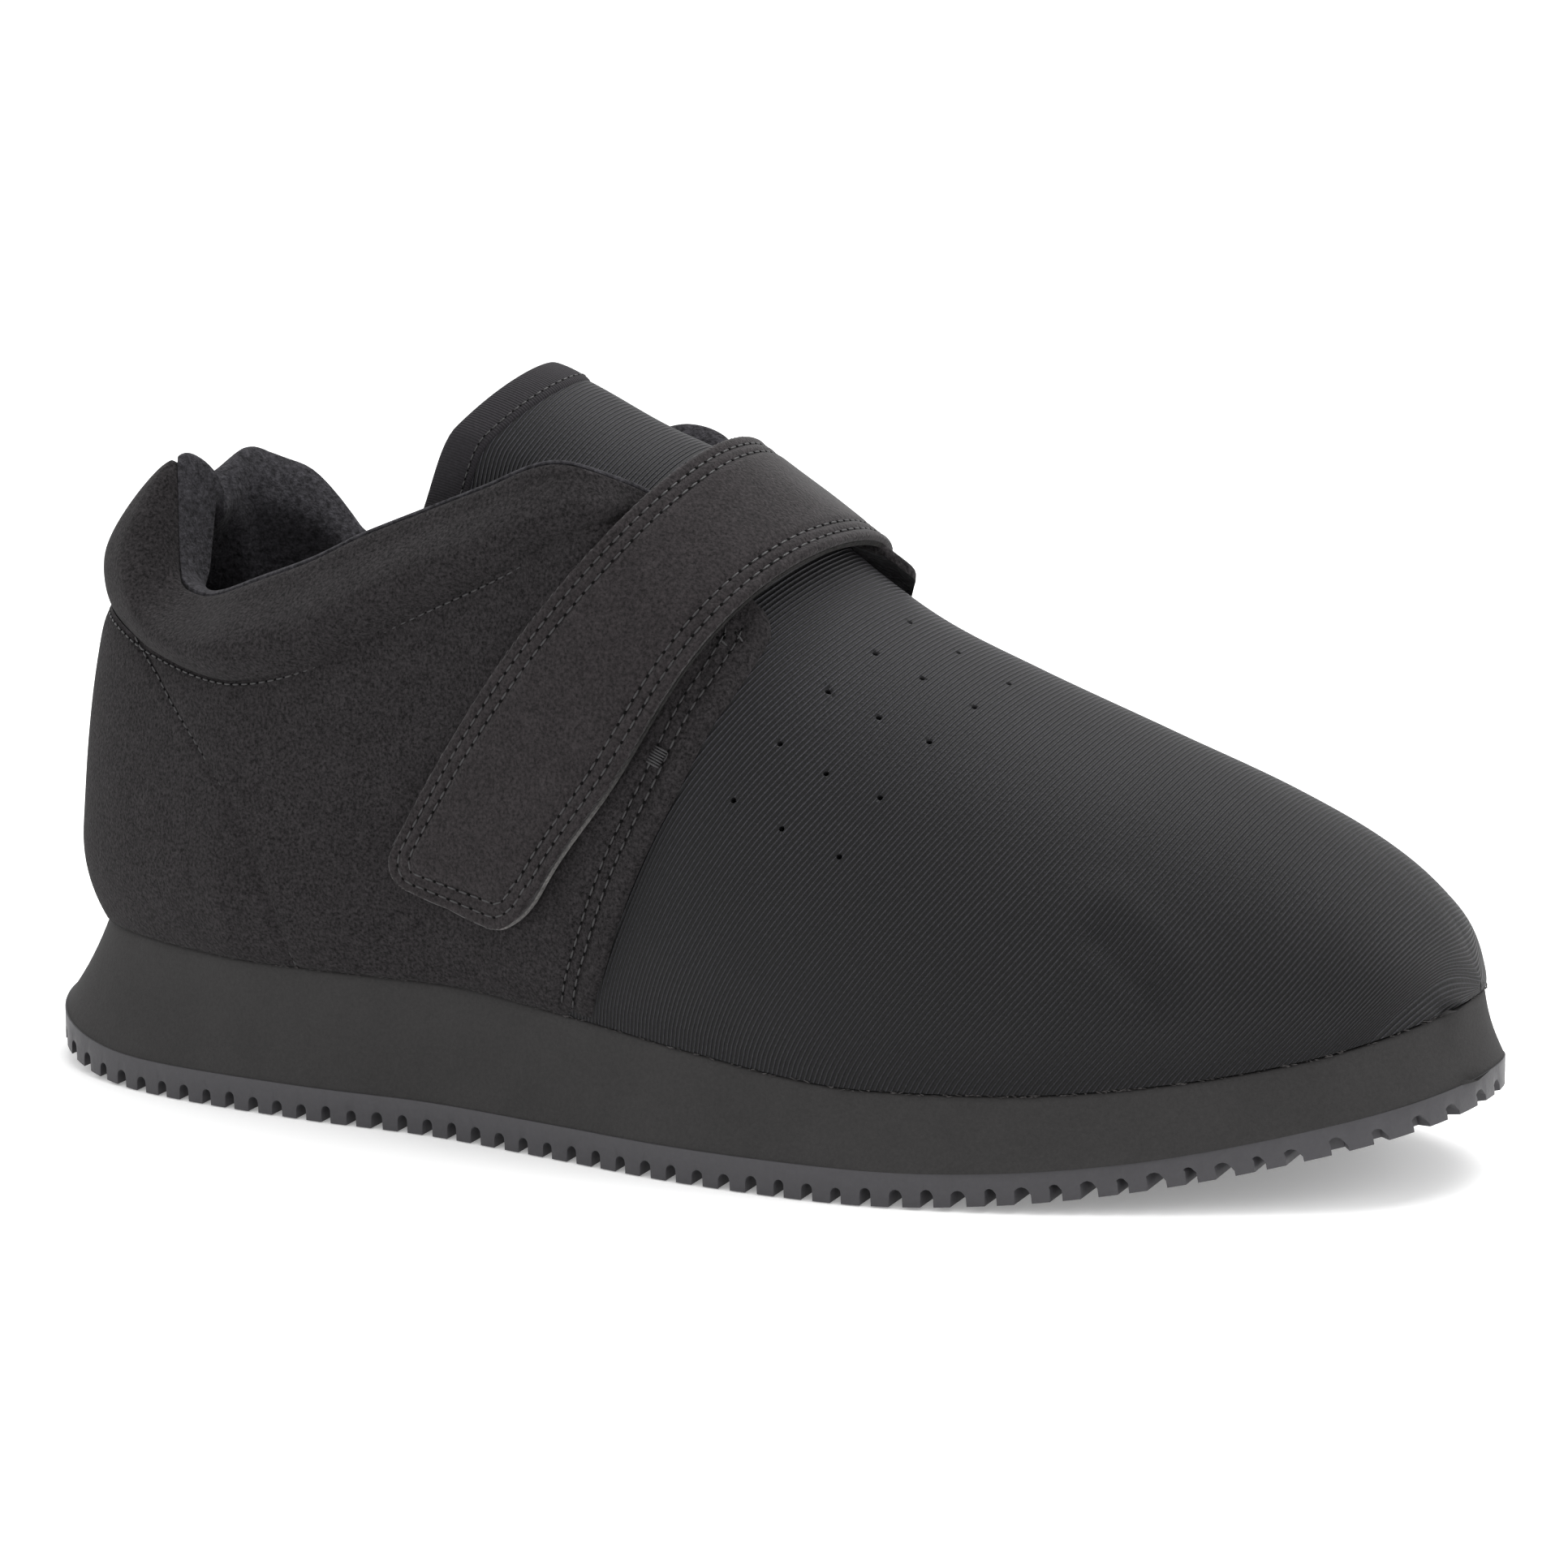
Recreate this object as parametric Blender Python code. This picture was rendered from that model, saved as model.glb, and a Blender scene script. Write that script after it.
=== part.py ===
"""Right stretch shoe with one hook-and-loop strap, as separate solids: outsole, midsole, insole,
one hollow upper, padded collar, tongue with its binding, strap, ring and the tab that holds the ring.

The tables run from heel to toe, -Y is the lateral side and Z is up. Everything is in metres.
"""

import math
from collections import namedtuple

import bmesh
import bpy
import numpy as np

# Driving dimensions
SHOE_LENGTH = 0.2905
BALL_WIDTH = 0.100
HEEL_HEIGHT = 0.0285
FOREFOOT_HEIGHT = 0.0200
TOE_SPRING = 0.0165
HEEL_BEVEL = 0.0050
OUTSOLE_THICKNESS = 0.0065
INSTEP_HEIGHT = 0.1240
BACK_HEIGHT = 0.1100
CONE_HEIGHT = 0.1750

# Sole details
SIDE_FLARE = 0.0040
HEEL_FLARE = 0.0095
SIDE_HOLLOW = 0.0012
TOE_THINNING = 0.18
LUG_PITCH = 0.00545
GROOVE_WIDTH = 0.0021
GROOVE_DEPTH = 0.0030
SOLE_END = 0.0060

# Walls, overlays and seats
GAP = 0.0003
WALL = 0.0020
QUARTER_RISE = 0.0022
INSOLE_THICKNESS = 0.0045
INSOLE_CUP = 0.0025
COLLAR_THICKNESS = 0.0105
TONGUE_THICKNESS = 0.0030
TONGUE_TOP = 0.365
TONGUE_ROUNDING = 0.055
BINDING_WIDTH = 0.0080
BINDING_RISE = 0.0006
STRAP_THICKNESS = 0.0024
TAB_THICKNESS = 0.0020
RING_BAR = 0.0024

# How the form of the foot is cut into columns and tucked in above the feather line
HEEL_CENTRE = 0.125 * SHOE_LENGTH
TOE_CROWDING = 1.2
TUCK_HEIGHT = 0.018
FEATHER_SHARE = 0.3

# Plan outline of the outsole, from the heel back round the lateral side to the toe and back
OUTLINE = (
    # along: share of SHOE_LENGTH, across: share of BALL_WIDTH
    (0.000, 0.000),
    (0.020, -0.180),
    (0.066, -0.300),
    (0.140, -0.370),
    (0.250, -0.397),
    (0.345, -0.395),
    (0.440, -0.432),
    (0.540, -0.472),
    (0.650, -0.468),
    (0.740, -0.405),
    (0.820, -0.312),
    (0.900, -0.195),
    (0.957, -0.095),
    (0.989, 0.020),
    (1.000, 0.160),
    (0.992, 0.285),
    (0.962, 0.400),
    (0.893, 0.485),
    (0.790, 0.525),
    (0.690, 0.530),
    (0.590, 0.480),
    (0.480, 0.390),
    (0.370, 0.340),
    (0.260, 0.350),
    (0.150, 0.360),
    (0.065, 0.305),
    (0.018, 0.180),
)

# Thickness of the whole sole
SOLE_LEVELS = (
    # along, of heel height, of forefoot height
    (0.000, 1.00, 0.00),
    (0.354, 1.00, 0.00),
    (0.454, 0.72, 0.28),
    (0.544, 0.38, 0.62),
    (0.604, 0.12, 0.88),
    (0.654, 0.00, 1.00),
    (0.774, 0.00, 0.92),
    (0.900, 0.00, 0.87),
    (1.000, 0.00, 0.97),
)

# Sections of the upper: its ridge over the floor, from the ankle's cone and from the instep, the powers
# that make its shoulders square or round, and how far it is tucked in above the feather line
UPPER_SECTIONS = (
    # along, of cone height, of instep height, shoulder, crown, tuck
    (0.117, 0.83, 0.000, 1.75, 1.50, 0.0035),
    (0.247, 0.97, 0.000, 2.10, 1.50, 0.0028),
    (0.347, 1.00, 0.000, 2.20, 1.55, 0.0025),
    (0.417, 0.94, 0.000, 2.30, 1.65, 0.0025),
    (0.467, 0.82, 0.000, 2.40, 1.80, 0.0025),
    (0.512, 0.00, 1.000, 2.50, 1.95, 0.0025),
    (0.557, 0.00, 0.903, 2.50, 2.00, 0.0025),
    (0.617, 0.00, 0.800, 2.40, 2.00, 0.0025),
    (0.687, 0.00, 0.722, 2.30, 2.00, 0.0025),
    (0.777, 0.00, 0.632, 2.20, 2.00, 0.0030),
    (0.857, 0.00, 0.552, 2.20, 2.00, 0.0033),
    (0.917, 0.00, 0.470, 2.10, 2.00, 0.0028),
    (0.950, 0.00, 0.408, 2.10, 2.00, 0.0018),
    (0.977, 0.00, 0.330, 2.00, 2.00, 0.0008),
)

# Tongue above the throat: its ridge, and how far round the instep it reaches
TONGUE_SECTIONS = (
    # along, of instep height, half turn
    (0.307, 1.185, 0.43),
    (0.387, 1.125, 0.43),
    (0.447, 1.060, 0.34),
    (0.480, 1.030, 0.26),
    (0.512, 1.000, 0.20),
)

# Lower seam of the collar in side view, which is also where the upper's wall ends
SEAM_LINE = (
    # along, of back height
    (0.000, 0.850),
    (0.057, 0.830),
    (0.117, 0.785),
    (0.187, 0.760),
    (0.257, 0.800),
    (0.327, 0.895),
    (0.397, 0.985),
    (0.447, 1.060),
    (0.477, 1.075),
    (0.512, 1.020),
)

# Padded collar: its topline, how far its crest leans in from the seam, its thickness and its belly
COLLAR_SECTIONS = (
    # along, lateral and medial topline of back height, lean, of collar thickness, bulge
    (0.035, 1.035, 1.025, 0.0165, 1.35, 0.0000),
    (0.045, 1.065, 1.028, 0.0165, 1.33, 0.0002),
    (0.062, 1.095, 1.035, 0.0160, 1.25, 0.0005),
    (0.078, 1.110, 1.055, 0.0145, 1.15, 0.0008),
    (0.087, 1.110, 1.072, 0.0130, 1.10, 0.0010),
    (0.097, 1.065, 1.085, 0.0120, 1.08, 0.0012),
    (0.107, 0.960, 1.092, 0.0115, 1.05, 0.0015),
    (0.117, 0.915, 1.088, 0.0110, 1.00, 0.0020),
    (0.132, 0.888, 1.072, 0.0105, 1.00, 0.0025),
    (0.149, 0.886, 1.050, 0.0095, 0.95, 0.0030),
    (0.167, 0.894, 0.995, 0.0090, 0.92, 0.0033),
    (0.180, 0.905, 0.945, 0.0085, 0.90, 0.0035),
    (0.198, 0.922, 0.922, 0.0080, 0.90, 0.0035),
    (0.247, 0.970, 0.970, 0.0070, 0.88, 0.0035),
    (0.288, 1.025, 1.025, 0.0065, 0.85, 0.0035),
    (0.373, 1.114, 1.114, 0.0050, 0.80, 0.0030),
    (0.429, 1.165, 1.165, 0.0040, 0.75, 0.0022),
    (0.456, 1.135, 1.135, 0.0040, 0.65, 0.0012),
)

# Front edge of the quarters in side view, from the feather line up to the rounded corner and back
QUARTER_EDGE = (
    # along, of instep height
    (0.451, 0.080),
    (0.465, 0.221),
    (0.480, 0.310),
    (0.490, 0.386),
    (0.502, 0.450),
    (0.514, 0.513),
    (0.527, 0.573),
    (0.537, 0.632),
    (0.545, 0.684),
    (0.554, 0.727),
    (0.562, 0.776),
    (0.564, 0.802),
    (0.562, 0.817),
    (0.557, 0.831),
    (0.543, 0.850),
    (0.515, 0.900),
    (0.483, 0.985),
)

# The way of the strap over the instep, from its free end on the lateral quarter, over the ring to the
# lower end of the tab on the medial quarter
BAND = (
    # share, rear along, rear turn, front along, front turn, rear lift, front lift
    (0.000, 0.318, -0.922, 0.440, -0.958, 0.0006, 0.0006),
    (0.070, 0.348, -0.860, 0.460, -0.875, 0.0006, 0.0006),
    (0.130, 0.371, -0.810, 0.480, -0.785, 0.0006, 0.0006),
    (0.200, 0.401, -0.750, 0.502, -0.680, 0.0006, 0.0006),
    (0.270, 0.431, -0.676, 0.523, -0.585, 0.0006, 0.0007),
    (0.340, 0.456, -0.570, 0.541, -0.478, 0.0008, 0.0012),
    (0.410, 0.474, -0.420, 0.559, -0.385, 0.0011, 0.0021),
    (0.480, 0.487, -0.270, 0.573, -0.250, 0.0014, 0.0028),
    (0.550, 0.496, -0.120, 0.584, -0.110, 0.0017, 0.0032),
    (0.610, 0.499, 0.020, 0.588, 0.020, 0.0018, 0.0033),
    (0.670, 0.495, 0.170, 0.584, 0.160, 0.0017, 0.0030),
    (0.730, 0.484, 0.310, 0.574, 0.295, 0.0013, 0.0022),
    (0.780, 0.477, 0.420, 0.562, 0.390, 0.0008, 0.0012),
    (0.840, 0.468, 0.540, 0.544, 0.485, 0.0007, 0.0006),
    (0.920, 0.444, 0.670, 0.522, 0.590, 0.0006, 0.0006),
    (1.000, 0.420, 0.740, 0.502, 0.680, 0.0005, 0.0005),
)
STRAP_END = 0.778
RING_BARS = (0.790, 0.834)
TAB_START = 0.850
RING_OVERHANG = 0.04
RING_CORNER = (0.010, 0.050)
STRAP_CORNER = (0.040, 0.225)

Columns = namedtuple("Columns", "edge outward spine")


def spline(table, column, along):
    """Smooth monotone curve through one column of a table, read at the shares given."""
    knots = np.array([row[0] for row in table], float)
    values = np.array([row[column] for row in table], float)
    step = np.diff(knots)
    slope = np.diff(values) / step
    tangent = np.concatenate([[slope[0]], (slope[:-1] + slope[1:]) / 2, [slope[-1]]])
    tangent[1:-1][slope[:-1] * slope[1:] <= 0] = 0
    limit = 3 * np.minimum(abs(np.append(slope, slope[-1])), abs(np.insert(slope, 0, slope[0])))
    tangent = np.clip(tangent, -limit, limit)
    x = np.clip(np.asarray(along, float), knots[0], knots[-1])
    k = np.clip(np.searchsorted(knots, x) - 1, 0, len(step) - 1)
    t = (x - knots[k]) / step[k]
    rising = values[k + 1] * t * t * (3 - 2 * t)
    falling = values[k] * (1 + 2 * t) * (1 - t) ** 2
    return rising + falling + step[k] * t * (1 - t) * (tangent[k] * (1 - t) - tangent[k + 1] * t)


def closed_curve(points, each=12):
    """Points of a smooth closed curve through the given ones."""
    points = np.asarray(points, float)
    before, after, far = (np.roll(points, shift, axis=0) for shift in (1, -1, -2))
    t = np.arange(each)[:, None, None] / each
    first = 2 * points + (after - before) * t
    second = (2 * before - 5 * points + 4 * after - far) * t**2
    third = (3 * points - before - 3 * after + far) * t**3
    return np.transpose((first + second + third) / 2, (1, 0, 2)).reshape(-1, 2)


EDGE = closed_curve([(a * SHOE_LENGTH, b * BALL_WIDTH) for a, b in OUTLINE])
EDGE_ALONG = np.roll(EDGE, -1, axis=0) - np.roll(EDGE, 1, axis=0)
EDGE_INWARD = np.stack([-EDGE_ALONG[:, 1], EDGE_ALONG[:, 0]], axis=1)
EDGE_INWARD /= np.linalg.norm(EDGE_INWARD, axis=1)[:, None]
MIDDLE = (EDGE.min(axis=0) + EDGE.max(axis=0)) / 2


def toe_share(x):
    """From 0 where the toe begins to rise to 1 at its tip."""
    return np.clip((np.asarray(x) / SHOE_LENGTH - 0.64) / 0.36, 0, 1)


def lift(x):
    """Height of the tread above the floor: a small bevel at the heel and the spring of the toe."""
    heel = np.clip(1 - np.asarray(x) / (0.12 * SHOE_LENGTH), 0, 1)
    return HEEL_BEVEL * heel**2 + TOE_SPRING * toe_share(x) ** 2


def outsole_top(x):
    """Height of the line between outsole and midsole; the outsole thins towards the toe."""
    return lift(x) + OUTSOLE_THICKNESS * (1 - TOE_THINNING * np.minimum(1, 2 * toe_share(x)))


def sole_top(x):
    """Height of the feather line, where the upper meets the midsole."""
    along = np.asarray(x) / SHOE_LENGTH
    heel, forefoot = spline(SOLE_LEVELS, 1, along), spline(SOLE_LEVELS, 2, along)
    return HEEL_HEIGHT * heel + FOREFOOT_HEIGHT * forefoot + TOE_SPRING * toe_share(x) ** 2


def flare(x):
    """How far the top of the midsole lies inside the outsole: most at the back of the heel."""
    back = np.clip(1 - np.asarray(x) / (0.19 * SHOE_LENGTH), 0, 1)
    return SIDE_FLARE + (HEEL_FLARE - SIDE_FLARE) * back * (2 - back)


class Plan:
    """The outline moved inwards, cut into columns: a fan round the heel and matching stations along
    both sides. Each point of the outline carries its outward direction.
    """

    def __init__(self, share, more=0.0, sides=25, fan=9):
        inset = EDGE + EDGE_INWARD * (share * flare(EDGE[:, 0]) + more)[:, None]
        edge = np.concatenate([inset, -EDGE_INWARD], axis=1)
        tip = int(edge[:, 0].argmax())
        self.tip = edge[tip]
        self.lateral, self.medial = edge[: tip + 1], edge[: tip - 1 : -1]
        stations = 1 - (1 - np.linspace(0, 1, sides + 1)) ** TOE_CROWDING
        self.side_x = HEEL_CENTRE + (self.tip[0] - HEEL_CENTRE) * stations
        angle = np.arctan2(edge[:, 1], HEEL_CENTRE - edge[:, 0])
        order = np.argsort(angle)
        turn = np.linspace(-math.pi / 2, math.pi / 2, fan + 1)[1:-1]
        self.heel = np.stack([np.interp(turn, angle[order], edge[order, k]) for k in range(4)], axis=1)

    def columns(self):
        """The outline's points, their outward directions and the spine that each column climbs to.

        They run from the heel along the medial side, over the toe and back along the lateral side.
        """
        x = self.side_x[:-1]
        far, near = (np.stack([x, *self.side(x, sign)], axis=1) for sign in (1, -1))
        edge = np.concatenate([far, [self.tip], near[::-1], self.heel])
        x = np.concatenate([self.side_x, self.side_x[-2::-1], np.full(len(self.heel), HEEL_CENTRE)])
        return Columns(edge[:, :2], edge[:, 2:], np.stack([x, self.middle(x)], axis=1))

    def middle(self, x):
        """The middle line: straight over the heel, turning inwards to the tip of the toe."""
        start = 0.42 * SHOE_LENGTH
        t = np.clip((np.asarray(x) - start) / (self.tip[0] - start), 0, 1)
        return self.tip[1] * t * t * (3 - 2 * t)

    def side(self, x, sign):
        """The outline's y at x and its outward direction, on the lateral (-1) or medial side (1)."""
        line = self.lateral if sign < 0 else self.medial
        return np.array([np.interp(x, line[:, 0], line[:, k]) for k in (1, 2, 3)])


class Form:
    """The form of the foot inside the upper, grown outwards by any amount.

    At each column the wall climbs from the feather line to the ridge on a superellipse and is tucked
    in over its lowest stretch, where it is lasted under.
    """

    def __init__(self, grow=0.0, sides=25, fan=9):
        at_feather = grow if grow < 0 else grow * FEATHER_SHARE
        self.grow = grow
        self.belly = grow - at_feather
        self.plan = Plan(1, -at_feather, sides, fan)

    def section(self, x):
        """The ridge's height and the two powers of the section."""
        cone, instep, shoulder, crown = (spline(UPPER_SECTIONS, k, x / SHOE_LENGTH) for k in (1, 2, 3, 4))
        return CONE_HEIGHT * cone + INSTEP_HEIGHT * instep + self.grow, shoulder, crown

    def wall(self, columns, share, rise=0.0):
        """Points at a share of the height from the feather line to the ridge."""
        edge, outward, spine = columns
        x = spine[..., 0]
        foot = sole_top(edge[..., 0]) + GAP
        top, shoulder, crown = self.section(x)
        climb = (top + rise - foot) * share
        low = np.clip(1 - climb / TUCK_HEIGHT, 0, 1)
        belly = (spline(UPPER_SECTIONS, 5, x / SHOE_LENGTH) + self.belly) * (1 - low**2) + rise
        out = (1 - share**shoulder) ** (1 / crown)
        plan = spine + (edge - spine + outward * belly[..., None]) * out[..., None]
        return np.concatenate([plan, (foot + climb)[..., None]], axis=-1)

    def at_height(self, columns, z):
        """Points of the wall at the heights given."""
        foot = sole_top(columns.edge[..., 0]) + GAP
        top = self.section(columns.spine[..., 0])[0]
        return self.wall(columns, np.clip((z - foot) / (top - foot), 0, 1))

    def side_point(self, x, turn, rise=0.0):
        """The point at x, turned from -1 at the lateral feather line over 0 to 1 at the medial one."""
        x, turn, rise = np.broadcast_arrays(x, turn, rise)
        y, *outward = np.where(turn < 0, self.plan.side(x, -1), self.plan.side(x, 1))
        spine = np.stack([x, self.plan.middle(x)], axis=-1)
        share = np.cos(np.abs(turn) * math.pi / 2) ** (2 / self.section(x)[1])
        return self.wall(Columns(np.stack([x, y], axis=-1), np.stack(outward, axis=-1), spine), share, rise)

    def solid(self, name, rows=10, drop=0.0):
        """The closed form, its flat underside lowered by so much."""
        columns = self.plan.columns()
        shoulder = self.section(columns.spine[:, 0])[1]
        levels = flat(columns, lambda x: sole_top(x) + GAP - drop)
        first = 0 if drop else 1
        for row in range(first, rows + 1):
            levels.append(self.wall(columns, math.sin(row / rows * math.pi / 2) ** (2 / shoulder)))
        return solid(name, *stack(levels))


class Tongue(Form):
    """The same form with the tongue's ridge instead of the ankle above the throat."""

    def section(self, x):
        ridge = INSTEP_HEIGHT * spline(TONGUE_SECTIONS, 1, x / SHOE_LENGTH) + self.grow
        return ridge, np.full(ridge.shape, 2.5), np.full(ridge.shape, 1.95)


QUARTERS = Form(QUARTER_RISE)


def clear_scene():
    for obj in list(bpy.data.objects):
        bpy.data.objects.remove(obj)


def material(name, colour, roughness, metallic=0.0):
    """A Principled material with the colour that the part shows."""
    made = bpy.data.materials.new(name)
    made.use_nodes = True
    shader = made.node_tree.nodes["Principled BSDF"]
    shader.inputs["Base Color"].default_value = (*colour, 1)
    shader.inputs["Roughness"].default_value = roughness
    shader.inputs["Metallic"].default_value = metallic
    return made


def placed(obj, look=None):
    """The object in the scene, held by the empty that puts the sole's middle over the origin."""
    bpy.context.scene.collection.objects.link(obj)
    obj.parent = bpy.data.objects["shoe"]
    if look:
        obj.data.materials.append(look)
    return obj


def solid(name, points, faces, look=None):
    """A named mesh object whose faces all point outwards."""
    mesh = bpy.data.meshes.new(name)
    mesh.from_pydata([tuple(map(float, p)) for p in points], [], faces)
    shape = bmesh.new()
    shape.from_mesh(mesh)
    bmesh.ops.remove_doubles(shape, verts=shape.verts, dist=2e-6)
    bmesh.ops.recalc_face_normals(shape, faces=shape.faces)
    if shape.calc_volume(signed=True) < 0:
        bmesh.ops.reverse_faces(shape, faces=shape.faces)
    shape.to_mesh(mesh)
    shape.free()
    mesh.shade_smooth()
    mesh.set_sharp_from_angle(angle=math.radians(35))
    return placed(bpy.data.objects.new(name, mesh), look)


def stack(rows):
    """Points and faces of a form made of rings stacked on each other, its first and last ring flat."""
    count = len(rows[0])
    faces = []
    for row in range(len(rows) - 1):
        for k in range(count):
            a, b = row * count + k, row * count + (k + 1) % count
            faces.append((a, b, b + count, a + count))
    return np.concatenate(rows), faces


def flat(columns, height):
    """Rings of a flat face, from the spine out to the edge, at a height that depends on x."""
    rings = [columns.spine + (columns.edge - columns.spine) * share for share in (0, 0.35, 0.7, 1)]
    return [np.column_stack([ring, height(ring[:, 0])]) for ring in rings]


def patch(grid_in, grid_out):
    """Points and faces of a closed sheet between two grids of points that lie over each other."""
    rows, columns = grid_in.shape[:2]
    index = np.arange(rows * columns).reshape(rows, columns)
    outer = rows * columns
    faces = []
    for r in range(rows - 1):
        for c in range(columns - 1):
            quad = (index[r, c], index[r, c + 1], index[r + 1, c + 1], index[r + 1, c])
            faces.append(quad)
            faces.append(tuple(outer + i for i in reversed(quad)))
    border = [*index[0], *index[1:, -1], *index[-1, -2::-1], *index[-2:0:-1, 0]]
    for a, b in zip(border, border[1:] + border[:1]):
        faces.append((a, b, outer + b, outer + a))
    return np.concatenate([grid_in.reshape(-1, 3), grid_out.reshape(-1, 3)]), faces


def side_line(table, size):
    """Points (x, z) of a side-view line."""
    return [(along * SHOE_LENGTH, share * size) for along, share in table]


def cutter(obj):
    obj.hide_render = True
    obj.display_type = "WIRE"
    return obj


def prism(name, outline, half_width=0.1):
    """A cutter: a side-view outline extruded right through the shoe."""
    count = len(outline)
    points = [(x, y, z) for y in (-half_width, half_width) for x, z in outline]
    faces = [tuple(range(count)), tuple(range(2 * count - 1, count - 1, -1))]
    faces += [(k, (k + 1) % count, count + (k + 1) % count, count + k) for k in range(count)]
    return cutter(solid(name, points, faces))


def boolean(obj, other, operation):
    step = obj.modifiers.new(operation.lower(), "BOOLEAN")
    step.operation = operation
    step.object = cutter(other)
    return obj


def outsole(look):
    """Rubber outsole: one plate over transverse lugs, plain at the toe and at the back of the heel."""
    tip = EDGE[:, 0].max()
    count = int((tip - 2 * SOLE_END) / LUG_PITCH)
    first = SOLE_END + (tip - 2 * SOLE_END - count * LUG_PITCH) / 2
    grooves = [first + k * LUG_PITCH for k in range(count)]
    cuts = sorted(grooves + [start + GROOVE_WIDTH for start in grooves])
    round_ends = [tip * (1 - math.cos(k / 26 * math.pi)) / 2 for k in range(27)]
    stations = sorted(cuts + [x for x in round_ends if min(abs(x - c) for c in cuts) > 0.0004])
    front = int(EDGE[:, 0].argmax())
    near = EDGE[: front + 1]
    far = np.concatenate([EDGE[front:], EDGE[:1]])[::-1]
    sides = (np.interp(stations, line[:, 0], line[:, 1]) for line in (near, far))
    points, faces = [], []
    for x, low, high in zip(stations, *sides):
        bottom = float(lift(x))
        for z in (bottom, bottom + GROOVE_DEPTH, float(outsole_top(x))):
            points += [(x, low, z), (x, high, z)]
    for k, (start, end) in enumerate(zip(stations, stations[1:])):
        a, b = 6 * k, 6 * k + 6
        faces += [(a + 4, b + 4, b + 5, a + 5), (a + 2, b + 2, b + 4, a + 4), (a + 3, a + 5, b + 5, b + 3)]
        if any(groove < (start + end) / 2 < groove + GROOVE_WIDTH for groove in grooves):
            faces += [(a + 2, a + 3, b + 3, b + 2), (a, a + 1, a + 3, a + 2), (b, b + 2, b + 3, b + 1)]
        else:
            faces += [(a, b, b + 2, a + 2), (a + 1, a + 3, b + 3, b + 1), (a, a + 1, b + 1, b)]
    for a in (0, 6 * (len(stations) - 1)):
        faces += [(a, a + 1, a + 3, a + 2), (a + 2, a + 3, a + 5, a + 4)]
    return solid("outsole", points, faces, look)


def midsole(look):
    """Foam midsole, its sides hollowed a little between the feather line and the outsole."""
    rows = flat(Plan(0).columns(), lambda x: outsole_top(x) + GAP)
    for share, level in ((0.42, 0.30), (0.78, 0.62)):
        edge = Plan(share, SIDE_HOLLOW * math.sin(level * math.pi)).columns().edge
        low = outsole_top(edge[:, 0]) + GAP
        rows.append(np.column_stack([edge, low + level * (sole_top(edge[:, 0]) - low)]))
    rows += flat(Plan(1).columns(), sole_top)[::-1]
    return solid("midsole", *stack(rows), look)


def insole(look):
    """Footbed inside the upper, cupped up along its edge."""
    start = WALL + 2 * GAP
    rows = flat(Plan(1, start + 0.002).columns(), lambda x: sole_top(x) + GAP)
    for inset, level in ((0, 0.0015), (0, INSOLE_THICKNESS), (0.004, INSOLE_THICKNESS - 0.001)):
        edge = Plan(1, start + inset).columns().edge
        rows.append(np.column_stack([edge, sole_top(edge[:, 0]) + GAP + level]))
    bed = INSOLE_THICKNESS - INSOLE_CUP
    rows += flat(Plan(1, start + 0.012).columns(), lambda x: sole_top(x) + GAP + bed)[::-1]
    return solid("insole", *stack(rows), look)


def upper(look):
    """The hollow upper: vamp and quarters in one wall, the quarters a step thicker than the vamp."""
    shell = Form().solid("upper")
    shell.data.materials.append(look)
    edge = side_line(QUARTER_EDGE, INSTEP_HEIGHT)
    back = [(0.44 * SHOE_LENGTH, 0.3), (-0.05, 0.3), (-0.05, -0.02), (edge[0][0] - 0.01, -0.02)]
    quarters = boolean(QUARTERS.solid("quarter_form"), prism("quarter_panel", edge + back), "INTERSECT")
    boolean(shell, quarters, "UNION")
    boolean(shell, Form(-WALL).solid("hollow_form", drop=0.02), "DIFFERENCE")
    along = np.linspace(SEAM_LINE[0][0], SEAM_LINE[-1][0], 34)
    seam = list(zip(along * SHOE_LENGTH, spline(SEAM_LINE, 1, along) * BACK_HEIGHT))
    opening = [(-0.05, seam[0][1])] + seam + [(seam[-1][0], 0.3), (-0.05, 0.3)]
    return boolean(shell, prism("ankle_opening", opening), "DIFFERENCE")


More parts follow.
